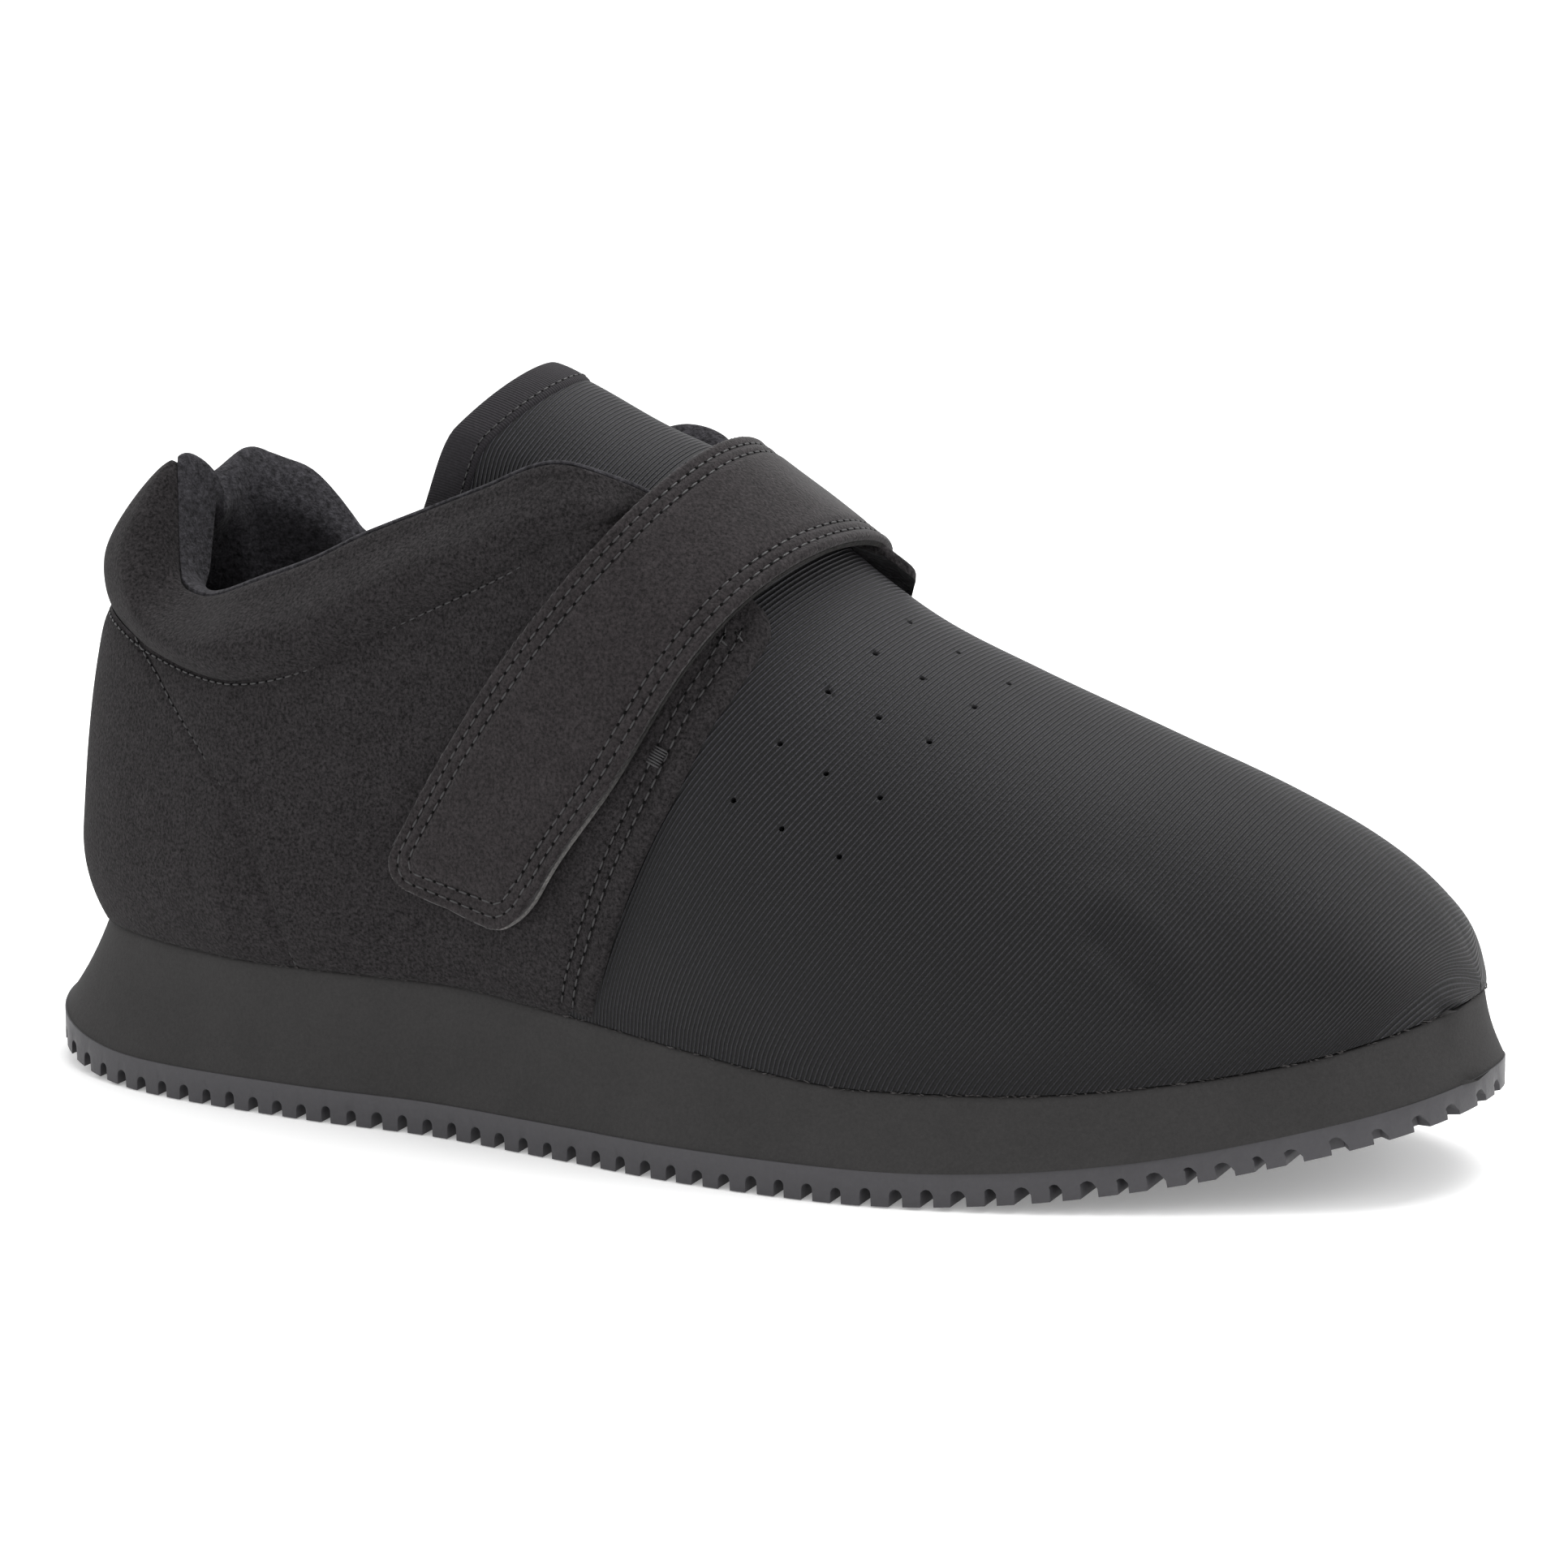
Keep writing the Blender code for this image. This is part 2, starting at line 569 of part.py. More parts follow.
def collar(look):
    """Padded roll round the ankle, from the lower seam over the topline and down inside."""
    form = Form(QUARTER_RISE, sides=64, fan=26)
    count = int((form.plan.side_x < COLLAR_SECTIONS[-1][0] * SHOE_LENGTH).sum())
    order = np.arange(count - 1, -count - len(form.plan.heel) - 1, -1)
    columns = Columns(*(part[order] for part in form.plan.columns()))
    way = columns.edge - columns.spine
    way /= np.linalg.norm(way, axis=1)[:, None]
    along = columns.spine[:, 0] / SHOE_LENGTH
    for _ in range(4):
        foot = form.at_height(columns, spline(SEAM_LINE, 1, along) * BACK_HEIGHT)
        along = foot[:, 0] / SHOE_LENGTH
    lateral, medial, lean, thickness, bulge = (spline(COLLAR_SECTIONS, k, along) for k in range(1, 6))
    topline = np.where(foot[:, 1] < 0, lateral, medial) * BACK_HEIGHT
    sections = []
    for k in range(len(order)):
        low, high = foot[k, 2] + GAP, topline[k]
        rise, thick = high - low, thickness[k] * COLLAR_THICKNESS
        loop = closed_curve(
            (
                (-0.10 * thick, low),
                (bulge[k], low + 0.38 * rise),
                (-0.42 * lean[k], high - 0.22 * rise),
                (-lean[k], high),
                (-0.44 * thick - lean[k], high - 0.22 * rise),
                (-0.80 * thick - 0.35 * lean[k], low + 0.45 * rise),
                (-0.75 * thick, low),
            ),
            2,
        )
        plan = foot[k, :2] + way[k] * loop[:, :1]
        sections.append(np.column_stack([plan, np.maximum(loop[:, 1], low)]))
    size = len(sections[0])
    last = size * (len(sections) - 1)
    points, faces = stack(sections)[0], [tuple(range(size)), tuple(range(last, last + size))]
    for a in range(0, last, size):
        for k in range(size):
            b = a + (k + 1) % size
            faces.append((a + k, a + k + size, b + size, b))
    return solid("collar", points, faces, look)


def tongue_grid(first, last, grow, rows=5, columns=12):
    """Points of the tongue from one distance below its top edge to another, or to the throat."""
    side = np.linspace(-1, 1, columns + 1)
    top = (TONGUE_TOP - TONGUE_ROUNDING * side**2) * SHOE_LENGTH
    start = top + first
    end = top + last if last else np.full(side.shape, TONGUE_SECTIONS[-1][0] * SHOE_LENGTH - GAP)
    x = start + (end - start) * np.linspace(0, 1, rows + 1)[:, None]
    return Tongue(grow).side_point(x, side * spline(TONGUE_SECTIONS, 2, x / SHOE_LENGTH))


def tongue(look):
    """Tongue of the same ribbed cloth as the vamp, from the throat up to its binding."""
    start = BINDING_WIDTH + GAP
    grids = tongue_grid(start, 0, -TONGUE_THICKNESS), tongue_grid(start, 0, 0)
    return solid("tongue", *patch(*grids), look)


def tongue_binding(look):
    """Smooth stretch binding folded over the top edge of the tongue."""
    inner = tongue_grid(0, BINDING_WIDTH, -TONGUE_THICKNESS - BINDING_RISE, rows=2)
    outer = tongue_grid(0, BINDING_WIDTH, BINDING_RISE, rows=2)
    return solid("tongue_binding", *patch(inner, outer), look)


def band_point(share, across, level):
    """A point on the way of the strap, across it from 0 at its rear edge to 1 at its front edge."""
    share, across = np.broadcast_arrays(share, across)
    rear_x, rear_turn, front_x, front_turn, rear_lift, front_lift = (
        spline(BAND, k, share) for k in range(1, 7)
    )
    x = (rear_x + (front_x - rear_x) * across) * SHOE_LENGTH
    turn = rear_turn + (front_turn - rear_turn) * across
    rise = rear_lift + (front_lift - rear_lift) * np.clip(across, 0, 1)
    return QUARTERS.side_point(x, turn, rise + level)


def strap(look):
    """Wide strap, its free end rounded at both corners."""
    across = (1 - np.cos(np.linspace(0, math.pi, 9))) / 2
    long, wide = STRAP_CORNER
    start = long * (1 - np.sqrt(1 - np.clip((abs(across - 0.5) - 0.5 + wide) / wide, 0, 1) ** 2))
    share = start + (STRAP_END - start) * np.linspace(0, 1, 31)[:, None]
    grids = band_point(share, across, 0), band_point(share, across, STRAP_THICKNESS)
    return solid("strap", *patch(*grids), look)


def strap_ring(look):
    """Flat rectangular ring that joins the strap to its tab, with rounded corners."""
    (first, last), (long, wide) = RING_BARS, RING_CORNER
    turn = np.linspace(0, math.pi / 2, 4)
    bar = np.linspace(-RING_OVERHANG + wide, 0.5, 5)[:-1]
    quarter = np.array(
        [(-RING_OVERHANG + wide * (1 - math.sin(a)), first + long * (1 - math.cos(a))) for a in turn[::-1]]
        + [(across, first) for across in bar[1:]]
    )
    half = np.concatenate([quarter, [(0.5, first)], quarter[::-1] * (-1, 1) + (1, 0)])
    across, share = np.concatenate([half, half[::-1] * (1, -1) + (0, first + last)]).T
    curve = bpy.data.curves.new("strap_ring", "CURVE")
    curve.dimensions = "3D"
    curve.bevel_depth = RING_BAR / 2
    curve.bevel_resolution = 1
    path = curve.splines.new("POLY")
    path.points.add(len(share) - 1)
    path.use_cyclic_u = True
    centre = band_point(share, across, GAP + RING_BAR / 2)
    for point, place in zip(path.points, centre):
        point.co = (*place, 1)
    return placed(bpy.data.objects.new("strap_ring", curve), look)


def ring_tab(look):
    """Short tab sewn to the medial quarter below the ring."""
    share = np.linspace(TAB_START, 1, 10)[:, None]
    across = np.linspace(0.02, 0.98, 9)
    grids = band_point(share, across, 0), band_point(share, across, TAB_THICKNESS)
    return solid("ring_tab", *patch(*grids), look)


def main():
    clear_scene()
    shoe = bpy.data.objects.new("shoe", None)
    shoe.location = (-MIDDLE[0], -MIDDLE[1], 0)
    bpy.context.scene.collection.objects.link(shoe)
    rubber = material("rubber", (0.030, 0.030, 0.032), 0.55)
    foam = material("foam", (0.035, 0.035, 0.037), 0.75)
    brushed = material("brushed_cloth", (0.022, 0.022, 0.023), 0.95)
    ribbed = material("ribbed_cloth", (0.018, 0.018, 0.020), 0.70)
    binding = material("binding", (0.020, 0.020, 0.022), 0.75)
    suede = material("microsuede", (0.028, 0.027, 0.027), 0.90)
    lining = material("footbed_cloth", (0.020, 0.020, 0.021), 0.95)
    plastic = material("ring_plastic", (0.012, 0.012, 0.013), 0.35)
    outsole(rubber)
    midsole(foam)
    insole(lining)
    upper(brushed)
    collar(brushed)
    tongue(ribbed)
    tongue_binding(binding)
    strap(suede)
    strap_ring(plastic)
    ring_tab(suede)


if __name__ == "__main__":
    main()
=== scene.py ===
"""Looks of a right stretch shoe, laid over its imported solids: ribbed vamp and tongue, brushed quarters
and padded collar with a terry lining, one microsuede strap, a foam midsole and a notched rubber outsole.

The tables run from heel to toe, -Y is the lateral side and Z is up. Everything is in metres.
"""

import math
import random
from collections import namedtuple

import bmesh
import bpy
import numpy as np
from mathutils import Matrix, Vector
from mathutils.kdtree import KDTree


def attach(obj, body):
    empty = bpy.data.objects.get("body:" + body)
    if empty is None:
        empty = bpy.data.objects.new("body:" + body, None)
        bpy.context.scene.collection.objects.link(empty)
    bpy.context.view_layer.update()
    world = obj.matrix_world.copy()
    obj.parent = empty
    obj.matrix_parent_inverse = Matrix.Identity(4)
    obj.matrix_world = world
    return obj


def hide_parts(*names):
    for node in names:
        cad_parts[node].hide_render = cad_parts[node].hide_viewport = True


bl_info = {
    "name": "Stretch shoe",
    "version": (1, 0, 0),
    "blender": (4, 5, 0),
    "location": "3D View > Sidebar > Shoe",
    "description": "Dresses the solids of a stretch shoe in cloth, foam, rubber and stitching",
    "category": "Object",
}

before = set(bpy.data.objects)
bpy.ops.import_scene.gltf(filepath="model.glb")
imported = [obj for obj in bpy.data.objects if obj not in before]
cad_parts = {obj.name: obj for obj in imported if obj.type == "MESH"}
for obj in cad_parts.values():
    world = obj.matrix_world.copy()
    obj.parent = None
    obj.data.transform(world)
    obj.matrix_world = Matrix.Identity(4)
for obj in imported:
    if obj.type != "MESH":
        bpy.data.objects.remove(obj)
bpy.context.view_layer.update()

# Named dimensions, the same as in the solids
SHOE_LENGTH = 0.2905
BALL_WIDTH = 0.100
HEEL_HEIGHT = 0.0285
FOREFOOT_HEIGHT = 0.0200
TOE_SPRING = 0.0165
HEEL_BEVEL = 0.0050
OUTSOLE_THICKNESS = 0.0065
INSTEP_HEIGHT = 0.1240
BACK_HEIGHT = 0.1100
CONE_HEIGHT = 0.1750
SIDE_FLARE = 0.0040
HEEL_FLARE = 0.0095
SIDE_HOLLOW = 0.0012
TOE_THINNING = 0.18
LUG_PITCH = 0.00545
GROOVE_WIDTH = 0.0021
GROOVE_DEPTH = 0.0030
SOLE_END = 0.0060
GAP = 0.0003
WALL = 0.0020
QUARTER_RISE = 0.0022
INSOLE_THICKNESS = 0.0045
INSOLE_CUP = 0.0025
COLLAR_THICKNESS = 0.0105
TONGUE_THICKNESS = 0.0030
TONGUE_TOP = 0.365
TONGUE_ROUNDING = 0.055
BINDING_WIDTH = 0.0080
STRAP_THICKNESS = 0.0024
TAB_THICKNESS = 0.0020
RING_BAR = 0.0024
HEEL_CENTRE = 0.125 * SHOE_LENGTH
TUCK_HEIGHT = 0.018
FEATHER_SHARE = 0.3
THROAT = 0.512 * SHOE_LENGTH

# About how long and how high one quarter is when it lies flat
QUARTER_LENGTH = 0.165
QUARTER_HEIGHT = 0.080

# Plan outline of the outsole, from the heel back round the lateral side to the toe and back
OUTLINE = (
    # along: share of SHOE_LENGTH, across: share of BALL_WIDTH
    (0.000, 0.000),
    (0.020, -0.180),
    (0.066, -0.300),
    (0.140, -0.370),
    (0.250, -0.397),
    (0.345, -0.395),
    (0.440, -0.432),
    (0.540, -0.472),
    (0.650, -0.468),
    (0.740, -0.405),
    (0.820, -0.312),
    (0.900, -0.195),
    (0.957, -0.095),
    (0.989, 0.020),
    (1.000, 0.160),
    (0.992, 0.285),
    (0.962, 0.400),
    (0.893, 0.485),
    (0.790, 0.525),
    (0.690, 0.530),
    (0.590, 0.480),
    (0.480, 0.390),
    (0.370, 0.340),
    (0.260, 0.350),
    (0.150, 0.360),
    (0.065, 0.305),
    (0.018, 0.180),
)

# Thickness of the whole sole
SOLE_LEVELS = (
    # along, of heel height, of forefoot height
    (0.000, 1.00, 0.00),
    (0.354, 1.00, 0.00),
    (0.454, 0.72, 0.28),
    (0.544, 0.38, 0.62),
    (0.604, 0.12, 0.88),
    (0.654, 0.00, 1.00),
    (0.774, 0.00, 0.92),
    (0.900, 0.00, 0.87),
    (1.000, 0.00, 0.97),
)

# Sections of the upper: its ridge, the powers that make its shoulders square or round, and its tuck
UPPER_SECTIONS = (
    # along, of cone height, of instep height, shoulder, crown, tuck
    (0.117, 0.83, 0.000, 1.75, 1.50, 0.0035),
    (0.247, 0.97, 0.000, 2.10, 1.50, 0.0028),
    (0.347, 1.00, 0.000, 2.20, 1.55, 0.0025),
    (0.417, 0.94, 0.000, 2.30, 1.65, 0.0025),
    (0.467, 0.82, 0.000, 2.40, 1.80, 0.0025),
    (0.512, 0.00, 1.000, 2.50, 1.95, 0.0025),
    (0.557, 0.00, 0.903, 2.50, 2.00, 0.0025),
    (0.617, 0.00, 0.800, 2.40, 2.00, 0.0025),
    (0.687, 0.00, 0.722, 2.30, 2.00, 0.0025),
    (0.777, 0.00, 0.632, 2.20, 2.00, 0.0030),
    (0.857, 0.00, 0.556, 2.20, 2.00, 0.0033),
    (0.917, 0.00, 0.482, 2.10, 2.00, 0.0028),
    (0.950, 0.00, 0.424, 2.10, 2.00, 0.0018),
    (0.972, 0.00, 0.368, 2.00, 2.00, 0.0010),
    (0.987, 0.00, 0.292, 2.00, 2.00, 0.0004),
)

# Tongue above the throat: its ridge, and how far round the instep it reaches
TONGUE_SECTIONS = (
    # along, of instep height, half turn
    (0.307, 1.185, 0.56),
    (0.387, 1.125, 0.56),
    (0.447, 1.060, 0.38),
    (0.480, 1.030, 0.27),
    (0.512, 1.000, 0.20),
)

# Lower seam of the collar in side view
SEAM_LINE = (
    # along, of back height
    (0.000, 0.850),
    (0.057, 0.830),
    (0.117, 0.785),
    (0.187, 0.760),
    (0.257, 0.800),
    (0.327, 0.895),
    (0.397, 0.985),
    (0.447, 1.060),
    (0.477, 1.075),
    (0.512, 1.020),
)

# Padded collar: its topline, how far its crest leans in from the seam, its thickness and its belly
COLLAR_SECTIONS = (
    # along, lateral and medial topline of back height, lean, of collar thickness, bulge
    (0.035, 1.050, 1.040, 0.0165, 1.30, 0.0000),
    (0.045, 1.075, 1.048, 0.0165, 1.32, 0.0002),
    (0.062, 1.098, 1.060, 0.0160, 1.35, 0.0005),
    (0.078, 1.102, 1.075, 0.0150, 1.38, 0.0008),
    (0.087, 1.085, 1.083, 0.0145, 1.40, 0.0010),
    (0.097, 1.020, 1.090, 0.0138, 1.42, 0.0012),
    (0.107, 0.945, 1.092, 0.0130, 1.42, 0.0015),
    (0.117, 0.910, 1.088, 0.0122, 1.34, 0.0020),
    (0.132, 0.888, 1.072, 0.0110, 1.18, 0.0025),
    (0.149, 0.886, 1.050, 0.0098, 1.02, 0.0030),
    (0.167, 0.894, 0.995, 0.0090, 0.92, 0.0033),
    (0.180, 0.905, 0.945, 0.0085, 0.90, 0.0035),
    (0.198, 0.922, 0.922, 0.0080, 0.90, 0.0035),
    (0.247, 0.970, 0.970, 0.0070, 0.88, 0.0035),
    (0.288, 1.025, 1.025, 0.0065, 0.85, 0.0035),
    (0.373, 1.114, 1.114, 0.0050, 0.80, 0.0030),
    (0.429, 1.165, 1.165, 0.0040, 0.75, 0.0022),
    (0.456, 1.150, 1.150, 0.0040, 0.65, 0.0012),
    (0.472, 1.125, 1.125, 0.0036, 0.55, 0.0008),
    (0.486, 1.095, 1.095, 0.0030, 0.45, 0.0004),
)

# Front edge of the quarters in side view, from the feather line up to the rounded corner
QUARTER_EDGE = (
    # along, of instep height
    (0.449, 0.080),
    (0.467, 0.222),
    (0.483, 0.313),
    (0.494, 0.389),
    (0.504, 0.450),
    (0.516, 0.513),
    (0.528, 0.573),
    (0.538, 0.632),
    (0.547, 0.684),
    (0.556, 0.727),
    (0.564, 0.776),
    (0.566, 0.802),
)
# Top edge of the quarters in side view, from the throat forward to that corner
QUARTER_TOP = (
    # along, of instep height
    (0.512, 0.925),
    (0.528, 0.896),
    (0.543, 0.864),
    (0.556, 0.838),
    (0.563, 0.820),
    (0.566, 0.802),
)

# Seam of the heel counter in side view, from the collar down to the sole
COUNTER_SEAM = (
    # along, of back height
    (0.100, 0.800),
    (0.124, 0.750),
    (0.145, 0.695),
    (0.174, 0.623),
    (0.204, 0.533),
    (0.229, 0.396),
    (0.242, 0.250),
)

# The way of the strap over the instep, from its free end over the ring to the end of the tab
BAND = (
    # share, rear along, rear turn, front along, front turn, rear lift, front lift
    (0.000, 0.315, -0.928, 0.426, -0.956, 0.0006, 0.0006),
    (0.070, 0.342, -0.875, 0.454, -0.885, 0.0006, 0.0006),
    (0.130, 0.368, -0.825, 0.476, -0.825, 0.0006, 0.0006),
    (0.200, 0.398, -0.768, 0.495, -0.748, 0.0006, 0.0006),
    (0.270, 0.424, -0.702, 0.510, -0.662, 0.0006, 0.0007),
    (0.340, 0.449, -0.610, 0.528, -0.572, 0.0008, 0.0012),
    (0.410, 0.469, -0.480, 0.546, -0.465, 0.0011, 0.0021),
    (0.480, 0.485, -0.325, 0.562, -0.338, 0.0014, 0.0028),
    (0.550, 0.495, -0.165, 0.575, -0.195, 0.0017, 0.0032),
    (0.610, 0.500, -0.025, 0.583, -0.045, 0.0018, 0.0033),
    (0.670, 0.500, 0.115, 0.585, 0.095, 0.0017, 0.0030),
    (0.730, 0.493, 0.260, 0.579, 0.240, 0.0013, 0.0022),
    (0.780, 0.483, 0.380, 0.569, 0.355, 0.0008, 0.0012),
    (0.840, 0.468, 0.505, 0.552, 0.470, 0.0007, 0.0006),
    (0.920, 0.444, 0.645, 0.526, 0.592, 0.0006, 0.0006),
    (1.000, 0.420, 0.740, 0.500, 0.680, 0.0005, 0.0005),
)
STRAP_END = 0.778
RING_BARS = (0.790, 0.834)
TAB_START = 0.850
RING_OVERHANG = 0.04
RING_CORNER = (0.010, 0.050)
STRAP_CORNER = (0.040, 0.225)

# Punched vent holes of the vamp
VENT_HOLES = (
    # along, turn
    (0.565, -0.688),
    (0.597, -0.682),
    (0.634, -0.677),
    (0.587, -0.552),
    (0.617, -0.550),
    (0.651, -0.545),
    (0.605, -0.397),
    (0.637, -0.387),
    (0.669, -0.390),
    (0.620, -0.240),
    (0.650, -0.237),
    (0.684, -0.250),
    (0.624, -0.068),
    (0.657, -0.083),
    (0.692, -0.110),
)

# A soft crease of the vamp beside the little toe
CREASE = ((0.788, -0.688), (0.803, -0.730), (0.819, -0.787))

Columns = namedtuple("Columns", "edge outward spine")


def linear(hexed):
    """An sRGB hex colour as linear values."""
    shares = (int(hexed[k : k + 2], 16) / 255 for k in (1, 3, 5))
    return tuple(c / 12.92 if c < 0.04045 else ((c + 0.055) / 1.055) ** 2.4 for c in shares)


class ShoeSizes(bpy.types.PropertyGroup):
    """Sizes of cloth, seams and stitches that the solids leave open."""

    rib_pitch: bpy.props.FloatProperty(
        name="Rib pitch", description="Distance of the ribs along the ridge of the vamp",
        default=0.00088, min=0.0005, unit="LENGTH", precision=5,
    )
    rib_slant: bpy.props.FloatProperty(
        name="Rib slant", description="How far a rib runs back from the ridge to the sole behind the ball",
        default=0.0413, unit="LENGTH", precision=4,
    )
    stitch: bpy.props.FloatProperty(
        name="Stitch length", description="Distance of the stitches in a seam",
        default=0.0026, min=0.001, unit="LENGTH", precision=4,
    )
    thread: bpy.props.FloatProperty(
        name="Thread thickness", description="Thickness of the sewing thread",
        default=0.00045, min=0.0002, unit="LENGTH", precision=5,
    )
    vent: bpy.props.FloatProperty(
        name="Vent hole", description="Diameter of the holes punched in the vamp",
        default=0.0011, min=0.0005, unit="LENGTH", precision=4,
    )
    seam_depth: bpy.props.FloatProperty(
        name="Seam depth", description="How deep a seam is drawn into the brushed cloth",
        default=0.0007, min=0.0, unit="LENGTH", precision=5,
    )


def colour(name, description, hexed):
    """A colour property with an sRGB hex default."""
    return bpy.props.FloatVectorProperty(
        name=name, description=description, subtype="COLOR", size=3, min=0, max=1, default=linear(hexed)
    )


class ShoeColours(bpy.types.PropertyGroup):
    """Colours of the shoe's materials."""

    nap: colour("Brushed cloth", "Quarters and the outside of the collar", "#242223")
    rib_crest: colour("Rib crest", "Crests of the ribs of vamp and tongue", "#414045")
    # The near-black rib valley colour is painted shade in the grooves between the ribs.
    rib_valley_shade: colour("Rib valley", "Grooves between the ribs", "#060607")
    suede: colour("Microsuede", "Strap and tab", "#272425")
    cut_edge: colour("Cut edge", "Backing seen along the edge of the strap", "#6a6867")
    terry: colour("Terry lining", "Lining of collar and quarters", "#302f32")
    binding: colour("Binding", "Smooth binding of the tongue", "#232124")
    thread: colour("Thread", "Sewing thread", "#222122")
    cement: colour("Cement", "Fuzz and dried cement along the edge of the midsole", "#3b3939")
    foam: colour("Foam", "Midsole", "#2e2d2d")
    rubber: colour("Rubber", "Outsole", "#38373a")
    plastic: colour("Plastic", "Ring of the strap", "#161617")
    footbed: colour("Footbed", "Cloth on the insole", "#1f1e20")


def sizes():
    return bpy.context.scene.shoe_sizes


def colours():
    return bpy.context.scene.shoe_colours


def spline(table, column, along):
    """Smooth monotone curve through one column of a table, read at the shares given."""
    knots = np.array([row[0] for row in table], float)
    values = np.array([row[column] for row in table], float)
    step = np.diff(knots)
    slope = np.diff(values) / step
    tangent = np.concatenate([[slope[0]], (slope[:-1] + slope[1:]) / 2, [slope[-1]]])
    tangent[1:-1][slope[:-1] * slope[1:] <= 0] = 0
    limit = 3 * np.minimum(abs(np.append(slope, slope[-1])), abs(np.insert(slope, 0, slope[0])))
    tangent = np.clip(tangent, -limit, limit)
    x = np.clip(np.asarray(along, float), knots[0], knots[-1])
    k = np.clip(np.searchsorted(knots, x) - 1, 0, len(step) - 1)
    t = (x - knots[k]) / step[k]
    rising = values[k + 1] * t * t * (3 - 2 * t)
    falling = values[k] * (1 + 2 * t) * (1 - t) ** 2
    return rising + falling + step[k] * t * (1 - t) * (tangent[k] * (1 - t) - tangent[k + 1] * t)


def closed_curve(points, each=12):
    """Points of a smooth closed curve through the given ones."""
    points = np.asarray(points, float)
    before, after, far = (np.roll(points, shift, axis=0) for shift in (1, -1, -2))
    t = np.arange(each)[:, None, None] / each
    first = 2 * points + (after - before) * t
    second = (2 * before - 5 * points + 4 * after - far) * t**2
    third = (3 * points - before - 3 * after + far) * t**3
    return np.transpose((first + second + third) / 2, (1, 0, 2)).reshape(-1, 2)


def unit(vectors):
    """The same directions with a length of one."""
    return vectors / np.linalg.norm(vectors, axis=-1)[..., None]


def way_along(points):
    """Distance of each point from the first one, along the line through them."""
    return np.concatenate([[0], np.cumsum(np.linalg.norm(np.diff(points, axis=0), axis=1))])


EDGE = closed_curve([(a * SHOE_LENGTH, b * BALL_WIDTH) for a, b in OUTLINE])
EDGE_ALONG = np.roll(EDGE, -1, axis=0) - np.roll(EDGE, 1, axis=0)
EDGE_INWARD = unit(np.stack([-EDGE_ALONG[:, 1], EDGE_ALONG[:, 0]], axis=1))
MIDDLE = (EDGE.min(axis=0) + EDGE.max(axis=0)) / 2
ORIGIN = (*MIDDLE, 0)


def toe_share(x):
    """From 0 where the toe begins to rise to 1 at its tip."""
    return np.clip((np.asarray(x) / SHOE_LENGTH - 0.64) / 0.36, 0, 1)


def lift(x):
    """Height of the tread above the floor: a small bevel at the heel and the spring of the toe."""
    heel = np.clip(1 - np.asarray(x) / (0.12 * SHOE_LENGTH), 0, 1)
    return HEEL_BEVEL * heel**2 + TOE_SPRING * toe_share(x) ** 2


def outsole_top(x):
    """Height of the line between outsole and midsole."""
    return lift(x) + OUTSOLE_THICKNESS * (1 - TOE_THINNING * np.minimum(1, 2 * toe_share(x)))


def sole_top(x):
    """Height of the feather line, where the upper meets the midsole."""
    along = np.asarray(x) / SHOE_LENGTH
    heel, forefoot = spline(SOLE_LEVELS, 1, along), spline(SOLE_LEVELS, 2, along)
    return HEEL_HEIGHT * heel + FOREFOOT_HEIGHT * forefoot + TOE_SPRING * toe_share(x) ** 2


def flare(x):
    """How far the top of the midsole lies inside the outsole."""
    back = np.clip(1 - np.asarray(x) / (0.19 * SHOE_LENGTH), 0, 1)
    return SIDE_FLARE + (HEEL_FLARE - SIDE_FLARE) * back * (2 - back)


class Plan:
    """The outline moved inwards, read as columns: a fan round the heel, then both sides along x."""

    def __init__(self, share, more=0.0):
        inset = EDGE + EDGE_INWARD * (share * flare(EDGE[:, 0]) + more)[:, None]
        self.ring = np.concatenate([inset, -EDGE_INWARD], axis=1)
        tip = int(self.ring[:, 0].argmax())
        self.tip = self.ring[tip]
        self.lateral, self.medial = self.ring[: tip + 1], self.ring[: tip - 1 : -1]
        self.angle = np.arctan2(self.ring[:, 1], HEEL_CENTRE - self.ring[:, 0])
        self.order = np.argsort(self.angle)

    def middle(self, x):
        """The middle line: straight over the heel, turning inwards to the tip of the toe."""
        start = 0.42 * SHOE_LENGTH
        t = np.clip((np.asarray(x) - start) / (self.tip[0] - start), 0, 1)
        return self.tip[1] * t * t * (3 - 2 * t)

    def side(self, x, sign):
        """The outline's y at x and its outward direction, on the lateral (-1) or medial side (1)."""
        line = self.lateral if sign < 0 else self.medial
        return np.array([np.interp(x, line[:, 0], line[:, k]) for k in (1, 2, 3)])

    def column(self, place, sign):
        """The columns at a place: 0 at the middle of the heel's back, x from the heel's centre on."""
        place, sign = np.broadcast_arrays(np.asarray(place, float), sign)
        y, *outward = np.where(sign < 0, self.side(place, -1), self.side(place, 1))
        turn = sign * math.pi / 2 * np.clip(place / HEEL_CENTRE, 0, 1)
        heel = [np.interp(turn, self.angle[self.order], self.ring[self.order, k]) for k in range(4)]
        in_heel = place < HEEL_CENTRE
        edge = np.where(in_heel, heel[:2], [place, y])
        outward = np.where(in_heel, heel[2:], outward)
        spine = np.maximum(place, HEEL_CENTRE)
        return Columns(
            np.moveaxis(edge, 0, -1),
            np.moveaxis(outward, 0, -1),
            np.stack([spine, self.middle(spine)], axis=-1),
        )


